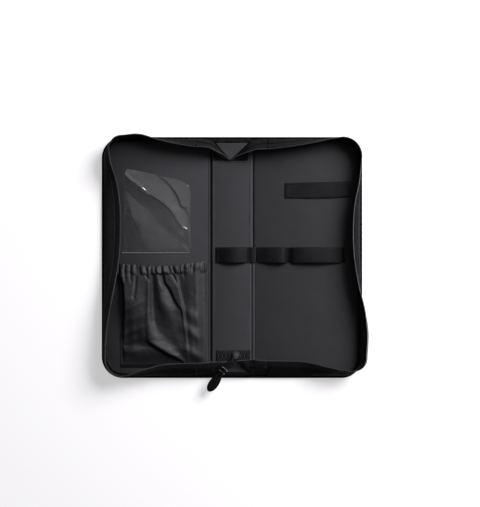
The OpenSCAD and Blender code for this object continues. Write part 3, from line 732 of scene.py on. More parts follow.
def build_panels():
    """Outer cloth and padded lining of the covers and the spine."""
    lining_z = SKIN + BOARD
    shell_inset = SKIN_INSET - 0.7
    for side, body, word, cloth in (
        (-1, "left_cover", "left", LEFT_LINING),
        (1, "right_cover", "right", RIGHT_LINING),
    ):
        shell = cover_panel(body + "_shell", side, shell_inset, 0.0, SKIN, CLOTH, (0.8, 0.3))
        place(shell, body, "outer_cloth", word + "_skin")
        pad = cover_panel(body + "_pad", side, LINING_INSET, lining_z, STACK, cloth, (1.5, 0.7))
        place(pad, body, "lining", word + "_lining")
    shell = spine_panel("spine_shell", shell_inset, 0.0, SKIN, CLOTH, (0.8, 0.3))
    place(shell, "spine", "outer_cloth", "spine_skin")
    pad = spine_panel("spine_pad", LINING_INSET, lining_z, STACK, LINING_CLOTH, (1.3, 0.6))
    place(pad, "spine", "lining", "spine_lining")
    for node in ("spine_board", "left_board", "right_board"):
        paint_node(node, BOARD_GREY)


PIPING_Z = PIPING + 0.1


def fold_ends(side):
    """Places at a fold's spine side and cover side, handed to bend, which does not use them."""
    return (side * SPINE_EDGE, 0, FOLD_Z), (side * COVER_EDGE, 0, FOLD_Z)


def build_piping():
    """Covered cord round the outer edge, with its pieces across the folds."""
    y = HALF_LENGTH - PIPING

    def end_cords(name, x0, x1, radius, count):
        lines = [np.linspace((x0, end * y, PIPING_Z), (x1, end * y, PIPING_Z), count) for end in (-1, 1)]
        return joined(name, [loft_data(tube_rings(line, radius, 12), "round") for line in lines], CLOTH)

    upright = ((0, 0), (0, 0), (0, 0))
    for side, body, node in ((-1, "left_cover", "left_piping"), (1, "right_cover", "right_piping")):
        line = [(px, py, PIPING_Z) for px, py, *_ in cover_path(PIPING, COVER_EDGE, upright, 3.0)]
        cord = loft(body + "_edge_cord", tube_rings(mirrored(line, side), PIPING, 12), CLOTH, "round")
        place(cord, body, "outer_cloth", node)
    cords = end_cords("spine_edge_cord", -SPINE_EDGE, SPINE_EDGE, PIPING, 24)
    place(cords, "spine", "outer_cloth", "spine_piping")
    for side, body in ((-1, "left_cover"), (1, "right_cover")):
        x0, x1 = side * (SPINE_EDGE - 0.3), side * (COVER_EDGE + 0.3)
        cord = end_cords(body + "_fold_cord", x0, x1, PIPING - 0.03, 14)
        bend(cord, "spine", body, *fold_ends(side), "outer_cloth")


def fold_strip(name, upper, lower, reach, side, body, material, slot, *nodes):
    """Cloth across a fold, whose upper profile passes into the lower one below the elastic band."""
    upper, lower = np.array(upper), np.array(lower)
    rings = []
    for y in edge_spaced(-reach, reach, 5.0):
        x, bottom, top = mix(lower, upper, float(ease((y + 6) / 18))).T
        x = x + FOLD_X
        wave = 0.1 * waves(x, y, 15, 8.0)
        across = np.full(len(x), y)
        above = np.column_stack([x * side, across, top + wave])
        below = np.column_stack([x * side, across, bottom + wave * (bottom > 0.2)])
        rings.append(np.vstack([above, below[::-1]]))
    bend(loft(name, rings, material), "spine", body, *fold_ends(side), slot, *nodes)


# Profiles of the cloth across a fold, from spine to cover: x from the fold line, lower z and upper z
FOLD_OUTSIDE = (
    (-2.9, 0.05, 0.8), (-2.1, 0.0, 0.95), (-1.2, 0.02, 1.0), (0.0, 0.04, 1.0), (1.2, 0.02, 1.0),
    (2.1, 0.0, 0.95), (2.9, 0.05, 0.8),
)
LEFT_GROOVE = (
    (-4.6, 4.0, 4.34), (-3.3, 3.2, 4.5), (-2.2, 3.0, 4.56), (-1.6, 2.9, 4.45), (-1.1, 2.5, 4.0),
    (-0.6, 1.5, 3.0), (-0.2, 1.05, 1.6), (0.6, 1.02, 1.35), (1.5, 1.02, 1.35), (1.8, 1.6, 2.7),
    (2.1, 3.0, 4.3), (3.6, 3.2, 4.4),
)
RIGHT_UPPER_RIDGE = (
    (-5.2, 4.0, 4.32), (-4.0, 4.0, 4.45), (-2.8, 3.0, 4.52), (-1.8, 2.8, 4.5), (-1.1, 2.4, 4.2),
    (-0.5, 1.8, 3.8), (0.1, 1.1, 1.8), (1.0, 1.05, 1.4), (1.5, 1.5, 2.8), (1.9, 2.6, 3.9), (2.7, 3.1, 4.2),
    (3.6, 3.2, 4.15),
)
RIGHT_LOWER_RIDGE = (
    (-5.2, 4.0, 4.32), (-3.8, 4.0, 4.44), (-2.9, 3.0, 4.36), (-2.4, 2.2, 3.9), (-2.0, 1.8, 3.5),
    (-1.5, 1.8, 3.55), (-0.8, 2.2, 4.1), (0.1, 2.8, 4.75), (1.0, 2.9, 5.0), (1.8, 2.9, 4.8),
    (2.8, 3.0, 3.9), (3.6, 3.2, 4.1),
)


def build_fold_strips():
    """Outer cloth and lining across the two folds. The lining dips on the left and bulges on the right."""
    outside = HALF_LENGTH - SKIN_INSET + 0.8
    inside = HALF_LENGTH - LINING_INSET - 0.4
    for side, body, upper, lower, node in (
        (-1, "left_cover", LEFT_GROOVE, LEFT_GROOVE, "fold_strip_left"),
        (1, "right_cover", RIGHT_UPPER_RIDGE, RIGHT_LOWER_RIDGE, "fold_strip_right"),
    ):
        shell, pad = body + "_fold_cloth", body + "_fold_lining"
        fold_strip(shell, FOLD_OUTSIDE, FOLD_OUTSIDE, outside, side, body, CLOTH, "outer_cloth", node)
        fold_strip(pad, upper, lower, inside, side, body, LINING_CLOTH, "lining")


def end_band(end):
    """Rings of the low upright band at a spine end, with its hem."""
    front, back, low = BAND_FOOT + WALL / 2, BAND_FOOT - WALL / 2, SKIN + 0.05
    profile = (
        (front, low),
        (front + 0.15, low + 1.8),
        (front, low + 3.4),
        (front - 0.8, low + 5.6),
        (front - BAND_LEAN + 1.1, BAND_TOP - 0.5),
        (front - BAND_LEAN + 0.4, BAND_TOP - 0.05),
        (back - BAND_LEAN + 0.3, BAND_TOP - 0.25),
        (back - BAND_LEAN, BAND_TOP - 0.8),
        (back - BAND_LEAN + 0.9, BAND_TOP - 1.5),
        (back - 0.8, low + 5.2),
        (back - 0.1, low + 3),
        (back, low + 1.2),
        (back, low),
    )
    reach = SPINE_EDGE - 0.3
    rings = []
    for x in edge_spaced(-reach, reach, 2.0):
        wave = 0.3 * wander(x, end * 40.0, 14, 2.0)
        rings.append([(x, end * (y + wave * (z - low) / 8), z) for y, z in profile])
    return rings


def gusset(name, tip, end, sink, material):
    """The leatherette triangle that folds in between the zip's ends."""
    length = GUSSET_BACK - tip[1]
    s = edge_spaced(0.0, length, 1.2, (0.0, 0.12, 0.3, 0.6, 1.0))[:, None]
    t = s / length
    across = 0.5 - 0.5 * np.cos(math.pi * np.linspace(0, 1, 25))
    left, right = mix(-GUSSET_REACH, tip[0] - 0.8, t), mix(GUSSET_REACH, tip[0] + 0.8, t)
    x, y = mix(left, right, across), GUSSET_BACK - s
    d = np.minimum(np.minimum(s, length - s), 0.75 * np.minimum(x - left, right - x))
    sag = sink * np.sin(math.pi * across) * np.sin(math.pi * np.minimum(1, t * 1.2))
    z = mix(GUSSET_Z, tip[2], t) - sag + 0.15 * waves(x, y, 9, 4.0) * ease(d / 2)
    return slab(name, x, end * y, z + 0.45 - rolled(d, 0.7, 0.3), z - 0.4 + rolled(d, 0.7, 0.25), material)


def ribbon_lines(tip, lean, side):
    """Sewn edge, crest and free edge of the soft wall end that folds in to the zip's end."""
    section = WallSection((WALL_START - 0.3, BAND_FOOT, 0.0, 1.0, lean))
    start_low, start_mid, start_free = (section.frame(share)[0] for share in (0.0, 0.5, 1.0))
    start_low += (0, 0.1, 0.2)
    tip_x, tip_y, tip_z = side * tip[0], tip[1], tip[2]
    _, out, rise = start_free
    back = BAND_FOOT - BAND_LEAN - 1
    low = np.array([
        start_low,
        (FOLD_X + 5, BAND_FOOT, 2.2),
        (GUSSET_REACH + 3.8, BAND_FOOT - 1.2, 6.4),
        (GUSSET_REACH + 1.8, back, 9.3),
        (mix(GUSSET_REACH, tip_x, 0.35) + 1.8, mix(back, tip_y, 0.35), 9.2),
        (mix(GUSSET_REACH, tip_x, 0.7) + 1.8, mix(back, tip_y, 0.7), 8.6),
        (tip_x + 1.3, tip_y + 0.2, tip_z + 0.8),
    ])
    free = np.array([
        start_free,
        mix(start_free, np.array((FOLD_X + 4, out - 0.6, rise - 1)), 0.9),
        (FOLD_X + 1, out - 1.4, rise - 3),
        (mix(FOLD_X, tip_x, 0.25), mix(out, tip_y, 0.25) - 1, rise - 5),
        (mix(FOLD_X, tip_x, 0.5), mix(out, tip_y, 0.42) - 1, mix(rise, tip_z, 0.6)),
        (mix(FOLD_X, tip_x, 0.75), mix(out, tip_y, 0.66) - 1, mix(rise, tip_z, 0.8)),
        (tip_x + 0.9, tip_y - 1.4, tip_z + 0.9),
    ])
    fade = np.linspace(1, 0, len(low))
    crest = mix(low, free, 0.45) + np.column_stack([0 * fade, 5.4 * fade**2, 6.5 * fade])
    crest[0] = start_mid * 2 - (start_low + start_free) / 2
    return low, crest, free


def ribbon_section(lines, t, shares, half):
    """One ring of the ribbon, its free edge and the direction there. half is its half thickness."""
    a, b, c = (curve(line, t) for line in lines)
    step = 0.02

    def at(u):
        return (1 - u) ** 2 * a + 2 * (1 - u) * u * b + u * u * c

    out, back = [], []
    for u in shares:
        ahead = at(u + step) - at(u - step)
        size = math.hypot(ahead[1], ahead[2])
        normal = np.array((0, ahead[2], -ahead[1])) / size
        pleat = 0.25 * math.sin(math.pi * u) * wander(t * 60, u * 20, 9, 6.0)
        out.append(at(u) + normal * (half(u) + pleat))
        back.append(at(u) + normal * (pleat - half(u)))
    return np.array(out + back[::-1]), at(1.0), at(1.0) - at(0.97)


# Where the folded-in ends would start to bend with their cover; bend does not use it
RIBBON_BEND = 25.2


def build_ribbons():
    """The four soft ends of wall, tape and coil that fold in over the spine's ends.

    Each is built as an outer half, next to its cover, and an inner half, next to the triangle."""

    def cloth_half(u):
        return 0.5 + 0.3 * float(ease((u / CLOTH_SHARE - 0.84) / 0.06))

    def tape_half(u):
        return 0.28

    kinds = (
        ("wall", CLOTH_SHARE * np.linspace(0, 1, 10), cloth_half, CLOTH, "outer_cloth"),
        ("tape", np.linspace(CLOTH_SHARE - 0.02, 0.97, 6), tape_half, TAPE_CLOTH, "zip_tape"),
    )
    for tip, end, word in ((TOP_TIP, 1, "top"), (BOTTOM_TIP, -1, "bottom")):
        for side, lean, body in ((-1, LEFT_LEAN, "left_cover"), (1, RIGHT_LEAN, "right_cover")):
            lines = ribbon_lines(tip, lean[0][0] if end > 0 else lean[2][-1], side)
            flip = np.array((side, end, 1.0))
            node = "end_fold_" + word + "_" + body.split("_")[0]
            turn = (side * RIBBON_BEND, 0, 0), (side * (WALL_START - 0.8), 0, 0)
            hand_over = (side * 13.0, end * 140.0, 9.0), (side * 5.0, end * 136.0, 9.0)
            halves = ("outer", 0.0, body, turn), ("inner", 0.5, word + "_end", hand_over)
            for part, t, mover, ends in halves:
                name = node + "_" + part
                along, fine_along = (np.linspace(t, t + 0.5, count) for count in (34, 60))
                for kind, shares, half, material, slot in kinds:
                    rings = [ribbon_section(lines, s, shares, half)[0] * flip for s in along]
                    stands_for = (node,) if (part, kind) == ("outer", "wall") else ()
                    bend(loft(name + "_" + kind, rings, material), "spine", mover, *ends, slot, *stands_for)
                fine = [ribbon_section(lines, s, (0.9, 1.0), tape_half) for s in fine_along]
                centre, upward = (np.array([s[k] for s in fine]) * flip for k in (1, 2))
                upward /= np.linalg.norm(upward, axis=1)[:, None]
                outward = np.cross(np.gradient(centre, axis=0), upward)
                outward /= np.linalg.norm(outward, axis=1)[:, None]
                bend(zip_coil(name + "_coil", centre, outward, upward), "spine", mover, *ends, "zip_coil")


def build_ends():
    """The spine's end bands and triangles, and the soft ends that fold in over them."""
    for end, word, tip, sink, cloth in (
        (1, "top", TOP_TIP, 0.4, LINING_CLOTH),
        # The bottom triangle takes the darker lining copy: painted shade.
        (-1, "bottom", BOTTOM_TIP, 1.4, PAINTED_SHADE_LINING),
    ):
        band = loft("spine_band_" + word, end_band(end), CLOTH)
        place(band, "spine", "outer_cloth", "end_band_" + word)
        triangle = gusset("gusset_" + word, tip, end, sink, cloth)
        place(triangle, word + "_end", "lining", "end_gusset_" + word)
    build_ribbons()


def band(name, start, length, height, y, tilt=0.0, thickness=BAND_THICKNESS, seed=0.0):
    """A flat elastic or webbing band along X. height gives its underside over the lining."""
    crown = np.array((-1.0, -0.985, -0.94, -0.8, -0.5, 0.0, 0.5, 0.8, 0.94, 0.985, 1.0))
    rings = []
    for x in edge_spaced(0.0, length, 1.3, (0.0, 0.15, 0.4, 0.8)):
        middle = y + tilt * x + 0.25 * wander(x, 0, 24, seed)
        end_round = min(1.0, math.sqrt(min(x, length - x) / 0.8 + 0.02))
        half = thickness / 2 * (0.25 + 0.75 * np.sqrt(1 - crown**14) * end_round)
        cup = 0.35 * (1 - crown**2) * min(1.0, height(x) / 3) + 0.12 * waves(x, crown * 8, 7, seed + 2)
        centre = STACK + 0.06 + height(x) + thickness / 2 + np.maximum(0.0, cup)
        line = np.column_stack([np.full(len(crown), start + x), middle + crown * BAND / 2, centre])
        up = np.outer(half, (0, 0, 1))
        rings.append(np.vstack([line + up, (line - up)[::-1]]))
    return loft(name, rings, ELASTIC)


# The elastic loops: their sewn feet, the rise of their crowns and the band's middle line
FOOT = 2.6
LOOP_RISE = 7.6
BAND_Y = 3.2


def arch_height(length, rise, crown, left, right):
    """Height under a loop whose crown is a share along it. left or right below 1 makes that side steeper."""
    sag = rise - BAND_THICKNESS - 0.1

    def height(x):
        t = (x - FOOT) / (length - 2 * FOOT)
        if t <= 0 or t >= 1:
            return 0.0
        if t < crown:
            return sag * math.sin(math.pi / 2 * t / crown) ** left
        return sag * math.sin(math.pi / 2 * (1 - t) / (1 - crown)) ** right

    return height


def sew_tacks(name, body, places, *nodes):
    """Bar tacks across the band: short slanting stitches side by side."""
    z, width, count = STACK + 0.1 + BAND_THICKNESS, BAND - 3, 16
    parts = []
    for x in places:
        for y in BAND_Y - width / 2 + width * (np.arange(count) + 0.5) / count:
            line = [(x - 0.9, y - 0.5, z), (x, y, z), (x + 0.9, y + 0.5, z)]
            parts += flat_stitches(line, 2.0, 0.4, 0.9, 0.3)
    sew(name, parts, DARK_THREAD, body, *nodes)


def build_bands():
    """Three elastic loops with their bar tacks, and the band's flat run over the right fold."""
    spine_from, spine_to = -SPINE_EDGE + 3.4, SPINE_EDGE - 2.2
    small_from, small_to = FOLD_X + 4.2, FOLD_X + 46.0
    large_to = small_to + 70.8
    for name, start, end, rise, body, node, shape in (
        ("spine_elastic", spine_from, spine_to, LOOP_RISE - 0.4, "spine", "spine_loop", (0.56, 1.1, 0.75)),
        ("small_elastic", small_from, small_to, LOOP_RISE, "right_cover", "small_loop", (0.8, 1.05, 0.55)),
        ("large_elastic", small_to, large_to, LOOP_RISE, "right_cover", "large_loop", (0.44, 0.5, 0.8)),
    ):
        length = end - start
        loop = band(name, start, length, arch_height(length, rise, *shape), BAND_Y, seed=length)
        place(loop, body, "elastic", node)

    flat_from = spine_to - 0.3
    flat_length = small_from + 0.3 - flat_from

    def over_fold(x):
        return 0.75 * math.sin(math.pi * x / flat_length)

    flat = band("elastic_over_fold", flat_from, flat_length, over_fold, BAND_Y, thickness=0.9, seed=4.0)
    ends = (SPINE_EDGE - 0.4, 0, FOLD_Z), (COVER_EDGE + 0.4, 0, FOLD_Z)
    bend(flat, "spine", "right_cover", *ends, "elastic", "band_bridge")
    # Real bar tacks, and painted shade: three close rows of near-black tacks fill the loops' shared foot,
    # where the pleat between them lies in shade.
    rows = small_from + 1.5, small_to - 1.9, small_to, small_to + 1.9, large_to - 1.4
    sew_tacks("band_bar_tacks", "right_cover", rows, "band_tacks")
    sew_tacks("spine_bar_tacks", "spine", (spine_from + 1.4, spine_to - 1.4))


def build_strap():
    """The upper strap, slack past its foot, and the box of stitches that holds the foot."""
    start, length, tilt = FOLD_X + 41, 84.0, 0.026
    y = 86.0 - tilt * length / 2
    foot = 12.0

    def slack(x):
        arch = math.sin(math.pi * max(0.0, x - foot) / (length - foot))
        return 1.3 * arch + 0.25 * max(0.0, wander(x, 5, 20, 9.0))

    strap = band("webbing_strap", start, length, slack, y, tilt, thickness=1.05, seed=5.0)
    place(strap, "right_cover", "elastic", "upper_strap")
    middle, half, z = y + tilt * 6, BAND / 2 - 2.0, STACK + 1.25
    signs = ((1.6, -1), (10.4, -1), (10.4, 1), (1.6, 1))
    corners = [(start + x, middle + sign * half, z) for x, sign in signs]
    box = []
    for ends in zip(corners, corners[1:] + corners[:1]):
        box += flat_stitches(ends, 2.2, 0.7, 0.55, 0.22)
    sew("strap_box_stitch", box, DARK_THREAD, "right_cover")


class Relief:
    """Heights from crease lines. Each line holds (up, across, height) from the mouth down, in millimetres."""

    def __init__(self, lines):
        self.lines = [np.array(sorted(line), float) for line in lines]

    def row(self, across, up):
        places = np.array([np.interp(up, line[:, 0], line[:, 1]) for line in self.lines])
        heights = np.array([np.interp(up, line[:, 0], line[:, 2]) for line in self.lines])
        places = np.maximum.accumulate(places + 1e-4 * np.arange(len(places)))
        i = np.clip(np.searchsorted(places, across) - 1, 0, len(places) - 2)
        t = ease((across - places[i]) / (places[i + 1] - places[i]))
        return heights[i] + (heights[i + 1] - heights[i]) * t


def blurred(heights, passes=1):
    """Heights softened a little between neighbours."""
    for _ in range(passes):
        p = np.pad(heights, 1, mode="edge")
        around = p[:-2, 1:-1] + p[2:, 1:-1] + p[1:-1, :-2] + p[1:-1, 2:]
        heights = 0.4 * p[1:-1, 1:-1] + 0.15 * around
    return heights


def bump_line(x, y, points, height, width):
    """A ridge or, below zero, a furrow along a line of points. It fades towards the last one."""
    best = np.full(x.shape, 1e9)
    fade = np.zeros(x.shape)
    for k, ((x0, y0), (x1, y1)) in enumerate(zip(points, points[1:])):
        dx, dy = x1 - x0, y1 - y0
        t = np.clip(((x - x0) * dx + (y - y0) * dy) / (dx * dx + dy * dy), 0, 1)
        d = np.hypot(x - x0 - t * dx, y - y0 - t * dy)
        fade = np.where(d < best, (k + t) / (len(points) - 1), fade)
        best = np.minimum(d, best)
    return height * np.exp(-((best / width) ** 2)) * (1 - 0.75 * fade**3)


# The pocket: its width, its outer side, its hem, and the lengths of its cloth and its casing
POCKET_WIDE = 115.0
POCKET_OUT = FOLD_X + 5.6 + POCKET_WIDE
POCKET_LOW = -HALF_LENGTH + 18
POCKET_BODY = 116.0
CASING = 17.0

# Crease lines of the pocket's cloth: (up from the hem, across from the outer side, share of the bulge)
POCKET_LINES = [
    [(116, 1.5, 0.02), (104, 5, 0.02), (80, 5.8, 0.02), (0, 6, 0.02)],
    [(116, 4, 0.5), (104, 7.4, 0.45), (80, 8.4, 0.4), (43, 8.6, 0.24), (0, 8.6, 0.2)],
    [(116, 7.5, 0.74), (104, 10.6, 0.84), (84, 11.4, 0.98), (70, 12, 0.72), (56, 12, 0.5), (43, 12, 0.36),
     (24, 12, 0.2), (16, 12, 0.44), (5, 12, 0.4), (0, 12, 0.2)],
    [(116, 22, 0.84), (84, 23, 0.97), (66, 23, 0.86), (43, 24, 0.66), (24, 24, 0.42), (16, 24, 0.76),
     (5, 24, 0.52), (0, 24, 0.2)],
    [(116, 38, 0.86), (84, 37, 0.85), (56, 36, 0.9), (36, 36, 0.84), (29, 36.5, 0.66), (23, 45, 0.6),
     (17, 54, 0.62), (12, 63, 0.6), (5, 79, 0.5), (0, 86, 0.4)],
    [(116, 42.2, 0.93), (96, 41.8, 0.95), (76, 40.8, 0.96), (56, 40.8, 0.98), (42, 41.7, 1.02),
     (31, 43.6, 1.1), (26, 48, 1.2), (22, 54.5, 1.26), (17, 62.5, 1.3), (12, 71.3, 1.3), (5, 84, 1.2),
     (0, 89, 1)],
    [(116, 45.8, 0.62), (96, 46.2, 0.56), (76, 47.2, 0.55), (56, 49.6, 0.56), (42, 56.5, 0.6),
     (31, 66.5, 0.66), (26, 72.3, 0.68), (22, 77.2, 0.7), (17, 80.6, 0.7), (12, 84, 0.7), (5, 88, 0.7),
     (0, 90, 0.7)],
    [(116, 52.5, 0.94), (96, 56, 1.0), (85, 57.5, 1.02), (76, 60.5, 1.0), (67, 64.4, 0.95),
     (56, 71.3, 0.86), (45, 76.2, 0.8), (31, 80.5, 0.76), (17, 85, 0.74), (0, 91, 0.7)],
    [(116, 59.5, 0.58), (106, 61, 0.55), (96, 67.6, 0.56), (85, 72.3, 0.6), (76, 77.2, 0.64),
     (70, 82.6, 0.72), (56, 84.5, 0.8), (0, 91.5, 0.74)],
    [(116, 61.6, 0.86), (106, 63.4, 0.88), (96, 70.2, 0.88), (85, 74.8, 0.88), (76, 79.2, 0.88),
     (70, 83.6, 0.88), (56, 85.5, 0.86), (0, 92, 0.78)],
    [(116, 76.2, 0.84), (103, 78.6, 0.86), (96, 79.6, 0.86), (85, 82, 0.88), (76, 84, 0.9),
     (69, 85.2, 0.9), (56, 86.6, 0.88), (42, 88.2, 0.86), (29, 89.4, 0.84), (17, 90.4, 0.82),
     (5, 91.2, 0.8), (0, 92.6, 0.8)],
    [(116, 78.4, 0.62), (103, 80.9, 0.6), (96, 81.9, 0.6), (85, 84.4, 0.6), (76, 86.3, 0.6),
     (69, 87.3, 0.6), (56, 88.7, 0.6), (42, 90.2, 0.6), (29, 91.4, 0.62), (17, 92.4, 0.64),
     (5, 93.2, 0.66), (0, 94, 0.7)],
    [(116, 92, 0.68), (60, 95, 0.7), (0, 98, 0.72)],
    [(116, 100, 0.66), (60, 101, 0.66), (0, 104, 0.62)],
    [(116, 114.2, 0.03), (0, 114.4, 0.03)],
]
# Smaller folds: points (across, up), height and half-width in millimetres
POCKET_FOLDS = [
    ([(25.4, 116), (24.6, 99), (22.6, 88), (24.4, 84)], -1.5, 1.5),
    ([(11.4, 116), (11.6, 108)], -1.3, 1.3),
    ([(18.3, 116), (20, 107)], -1.3, 1.4),
    ([(37.6, 118), (43.8, 107)], -1.6, 1.2),
    ([(71.4, 117), (75.6, 109), (79.2, 101)], -1.7, 1.4),
    ([(86.4, 116), (87.4, 110)], -1.2, 1.4),
    ([(57.6, 106), (58.8, 97), (59.6, 94)], 0.9, 1.4),
    ([(9, 69), (23, 76.5), (37, 85)], 2.2, 4.0),
    ([(9, 53), (26, 61.5), (38, 68)], 1.9, 4.0),
    ([(9, 38), (26, 45.5), (38, 51)], 2.2, 3.6),
    ([(10, 24), (26, 27.5), (40, 29)], -0.8, 3.0),
    ([(16, 16.2), (30, 20), (42, 19.4), (58, 14)], 1.1, 3.6),
    ([(85, 71), (99, 61), (113, 51)], 1.5, 6.0),
    ([(88, 47), (101, 37), (113, 28.5)], 2.2, 6.0),
    ([(90, 19), (102, 11.5), (113, 5)], 1.9, 5.4),
]


def mouth_sag(across):
    """How far the pocket's mouth hangs lower towards its outer side."""
    return -4.2 * (1 - across / POCKET_WIDE)


def pocket_bulge(up):
    """Height of the pocket's cloth over the lining at its fullest, from hem to mouth."""
    return np.interp(up, (0, 2, 6, 12, 20, 34, 60, 116), (0.2, 1.3, 3.7, 6.6, 8.2, 9.4, 10.6, 11.6))


def pocket_heights(across, ups):
    """Height of the pocket's pleated cloth over the lining."""
    relief = Relief(POCKET_LINES)
    a, v = np.meshgrid(across, ups)
    height = np.array([relief.row(across, up) for up in ups]) * pocket_bulge(ups)[:, None]
    reach = ease(np.minimum(a / 12, (POCKET_WIDE - a) / 7)) * ease(v / 9)
    for points, size, width in POCKET_FOLDS:
        height += bump_line(a, v, points, size, width) * reach
    crumple = waves(a, v, 7.5, 1.0) + 0.5 * waves(a, v, 3.2, 2.0)
    return np.maximum(blurred(height + 0.22 * crumple * reach, 3), 0.15)


def build_pocket():
    """The gathered pocket: its pleated cloth, its ruffled casing and its hem."""
    across = edge_spaced(0.0, POCKET_WIDE, 0.75, (0.0, 0.2, 0.5))
    ups = edge_spaced(0.0, POCKET_BODY, 0.8, (0.0, 0.2, 0.5))
    a, v = np.meshgrid(across, ups)
    height = pocket_heights(across, ups)
    foot = np.interp(v, (0, 80, 104, 116), (5.8, 5.6, 4.4, 0.8))
    x = np.maximum(a, mix(foot, 9.0, a / 9.0)) - POCKET_OUT
    y = v + POCKET_LOW + mouth_sag(a) * (v / POCKET_BODY) ** 2
    top = STACK + 0.15 + height + 0.8
    body = slab("pocket_body", x, y, top, top - 0.8, POCKET_CLOTH)
    place(body, "left_cover", "pocket_cloth", "gathered_pocket")
    build_casing(across, height[-1])
    build_hem()


# Gathers of the casing: each slit's place at the mouth and at the stitch line, then the next gather's rise
CASING_SLITS = [
    (0.0, 0.4, 0.7), (2.9, 3.4, 1.0), (11.2, 10.4, 0.75), (18.1, 18.8, 1.0), (25.0, 27.0, 0.3),
    (29.5, 31.0, 0.8), (37.0, 40.5, 0.6), (44.7, 44.2, 0.35), (49.0, 51.5, 0.8), (57.5, 58.6, 0.9),
    (66.0, 68.4, 0.35), (71.3, 75.8, 1.0), (79.5, 81.8, 0.45), (86.1, 85.2, 0.7), (93.6, 92.8, 0.25),
    (98.6, 97.6, 0.65), (105.4, 106.0, 0.4), (111.7, 111.2, 0.5), (115.0, 114.8, 0.2),
]


def build_casing(body_across, body_height):
    """A ruffled tube with the elastic inside, over the pocket's mouth, from the height of the body."""
    low = POCKET_LOW + POCKET_BODY - 0.6
    across = edge_spaced(0.0, POCKET_WIDE, 0.5, (0.0, 0.2, 0.5))
    shares = 0.5 - 0.5 * np.cos(math.pi * np.linspace(0, 1, 26))
    mouth, foot, lobe_rise = np.transpose(CASING_SLITS)
    start = np.interp(across, body_across, body_height) + 0.75
    middling = np.sin(math.pi * np.clip(across / POCKET_WIDE, 0.004, 0.996))
    arch = 10.6 * np.sqrt(np.maximum(0.002, middling))
    tall = CASING + np.interp(across, (0, 15, 45, 75, 100, 115), (0.0, -1.0, -4.4, -4.4, -2.0, -0.5))
    tops, lows, ys = [], [], []
    for s in shares:
        slits = mix(foot, mouth, s)
        i = np.clip(np.searchsorted(slits, across) - 1, 0, len(slits) - 2)
        t = np.clip((across - slits[i]) / (slits[i + 1] - slits[i]), 0, 1)
        lobe = np.sin(math.pi * t) ** 0.65 * lobe_rise[i]
        belly = math.sqrt(max(0.0, 1 - max(0.0, (s - 0.35) / 0.65) ** 2))
        full = arch - 0.4 + 3.5 * lobe + 1.3 * waves(across, s * 10, 4.5, 3.0)
        grown = ease(s / 0.3)
        tops.append(STACK + mix(start, full, grown) * belly + arch * 0.8 * (1 - belly))
        lows.append(STACK + mix(start - 0.8, arch - 3.0, grown) * belly + arch * 0.7 * (1 - belly))
        edge = 1.3 * waves(across, 0, 7, 5.0) + 1.2 * (lobe - 0.5)
        ys.append(low + mouth_sag(across) + s * tall + edge * s**2)
    tops = blurred(tops)
    casing = slab("pocket_ruffle", across - POCKET_OUT, ys, tops, lows, POCKET_CLOTH)
    place(casing, "left_cover", "pocket_cloth", "pocket_casing")
    v = np.linspace(3, POCKET_WIDE - 3, 120)
    seam = np.interp(v, across, tops[5]) + 0.02
    line = np.column_stack([v - POCKET_OUT, low + 1.6 + mouth_sag(v), seam])
    sew("casing_stitches", flat_stitches(line, 2.2, 1.0, 0.5, 0.25), SATIN_THREAD, "left_cover")


def build_hem():
    """The pocket's sewn lower edge."""
    ys = np.linspace(POCKET_LOW - 4.3, POCKET_LOW + 0.1, 9)
    xs = edge_spaced(-POCKET_OUT + 5.0, -POCKET_OUT + POCKET_WIDE, 2.0)
    x, y = np.meshgrid(xs, ys)
    d = np.minimum(y - ys[0], ys[-1] - y)
    top = STACK + 0.75 + 0.12 * waves(x, y, 6, 4.0) - 0.35 * np.exp(-((d / 0.5) ** 2))
    # Painted shade: the hem is cut from the dark tape cloth, darker than the pocket's satin, for the shade at
    # the pocket's foot.
    hem = slab("pocket_edge", x, y, top, STACK + 0.05, TAPE_CLOTH)
    place(hem, "left_cover", "pocket_cloth", "pocket_hem")
    line = [(v, POCKET_LOW - 2.2, STACK + 0.78) for v in (xs[0] + 1, xs[-1] - 1)]
    sew("pocket_stitches", flat_stitches(line, 2.4, 0.8, 0.5, 0.2), DARK_THREAD, "left_cover")


# The card window: its width, its outer side and its sewn edge
WINDOW_WIDE = 88.0
WINDOW_OUT = FOLD_X + 26.5 + WINDOW_WIDE
WINDOW_LOW = 6.4

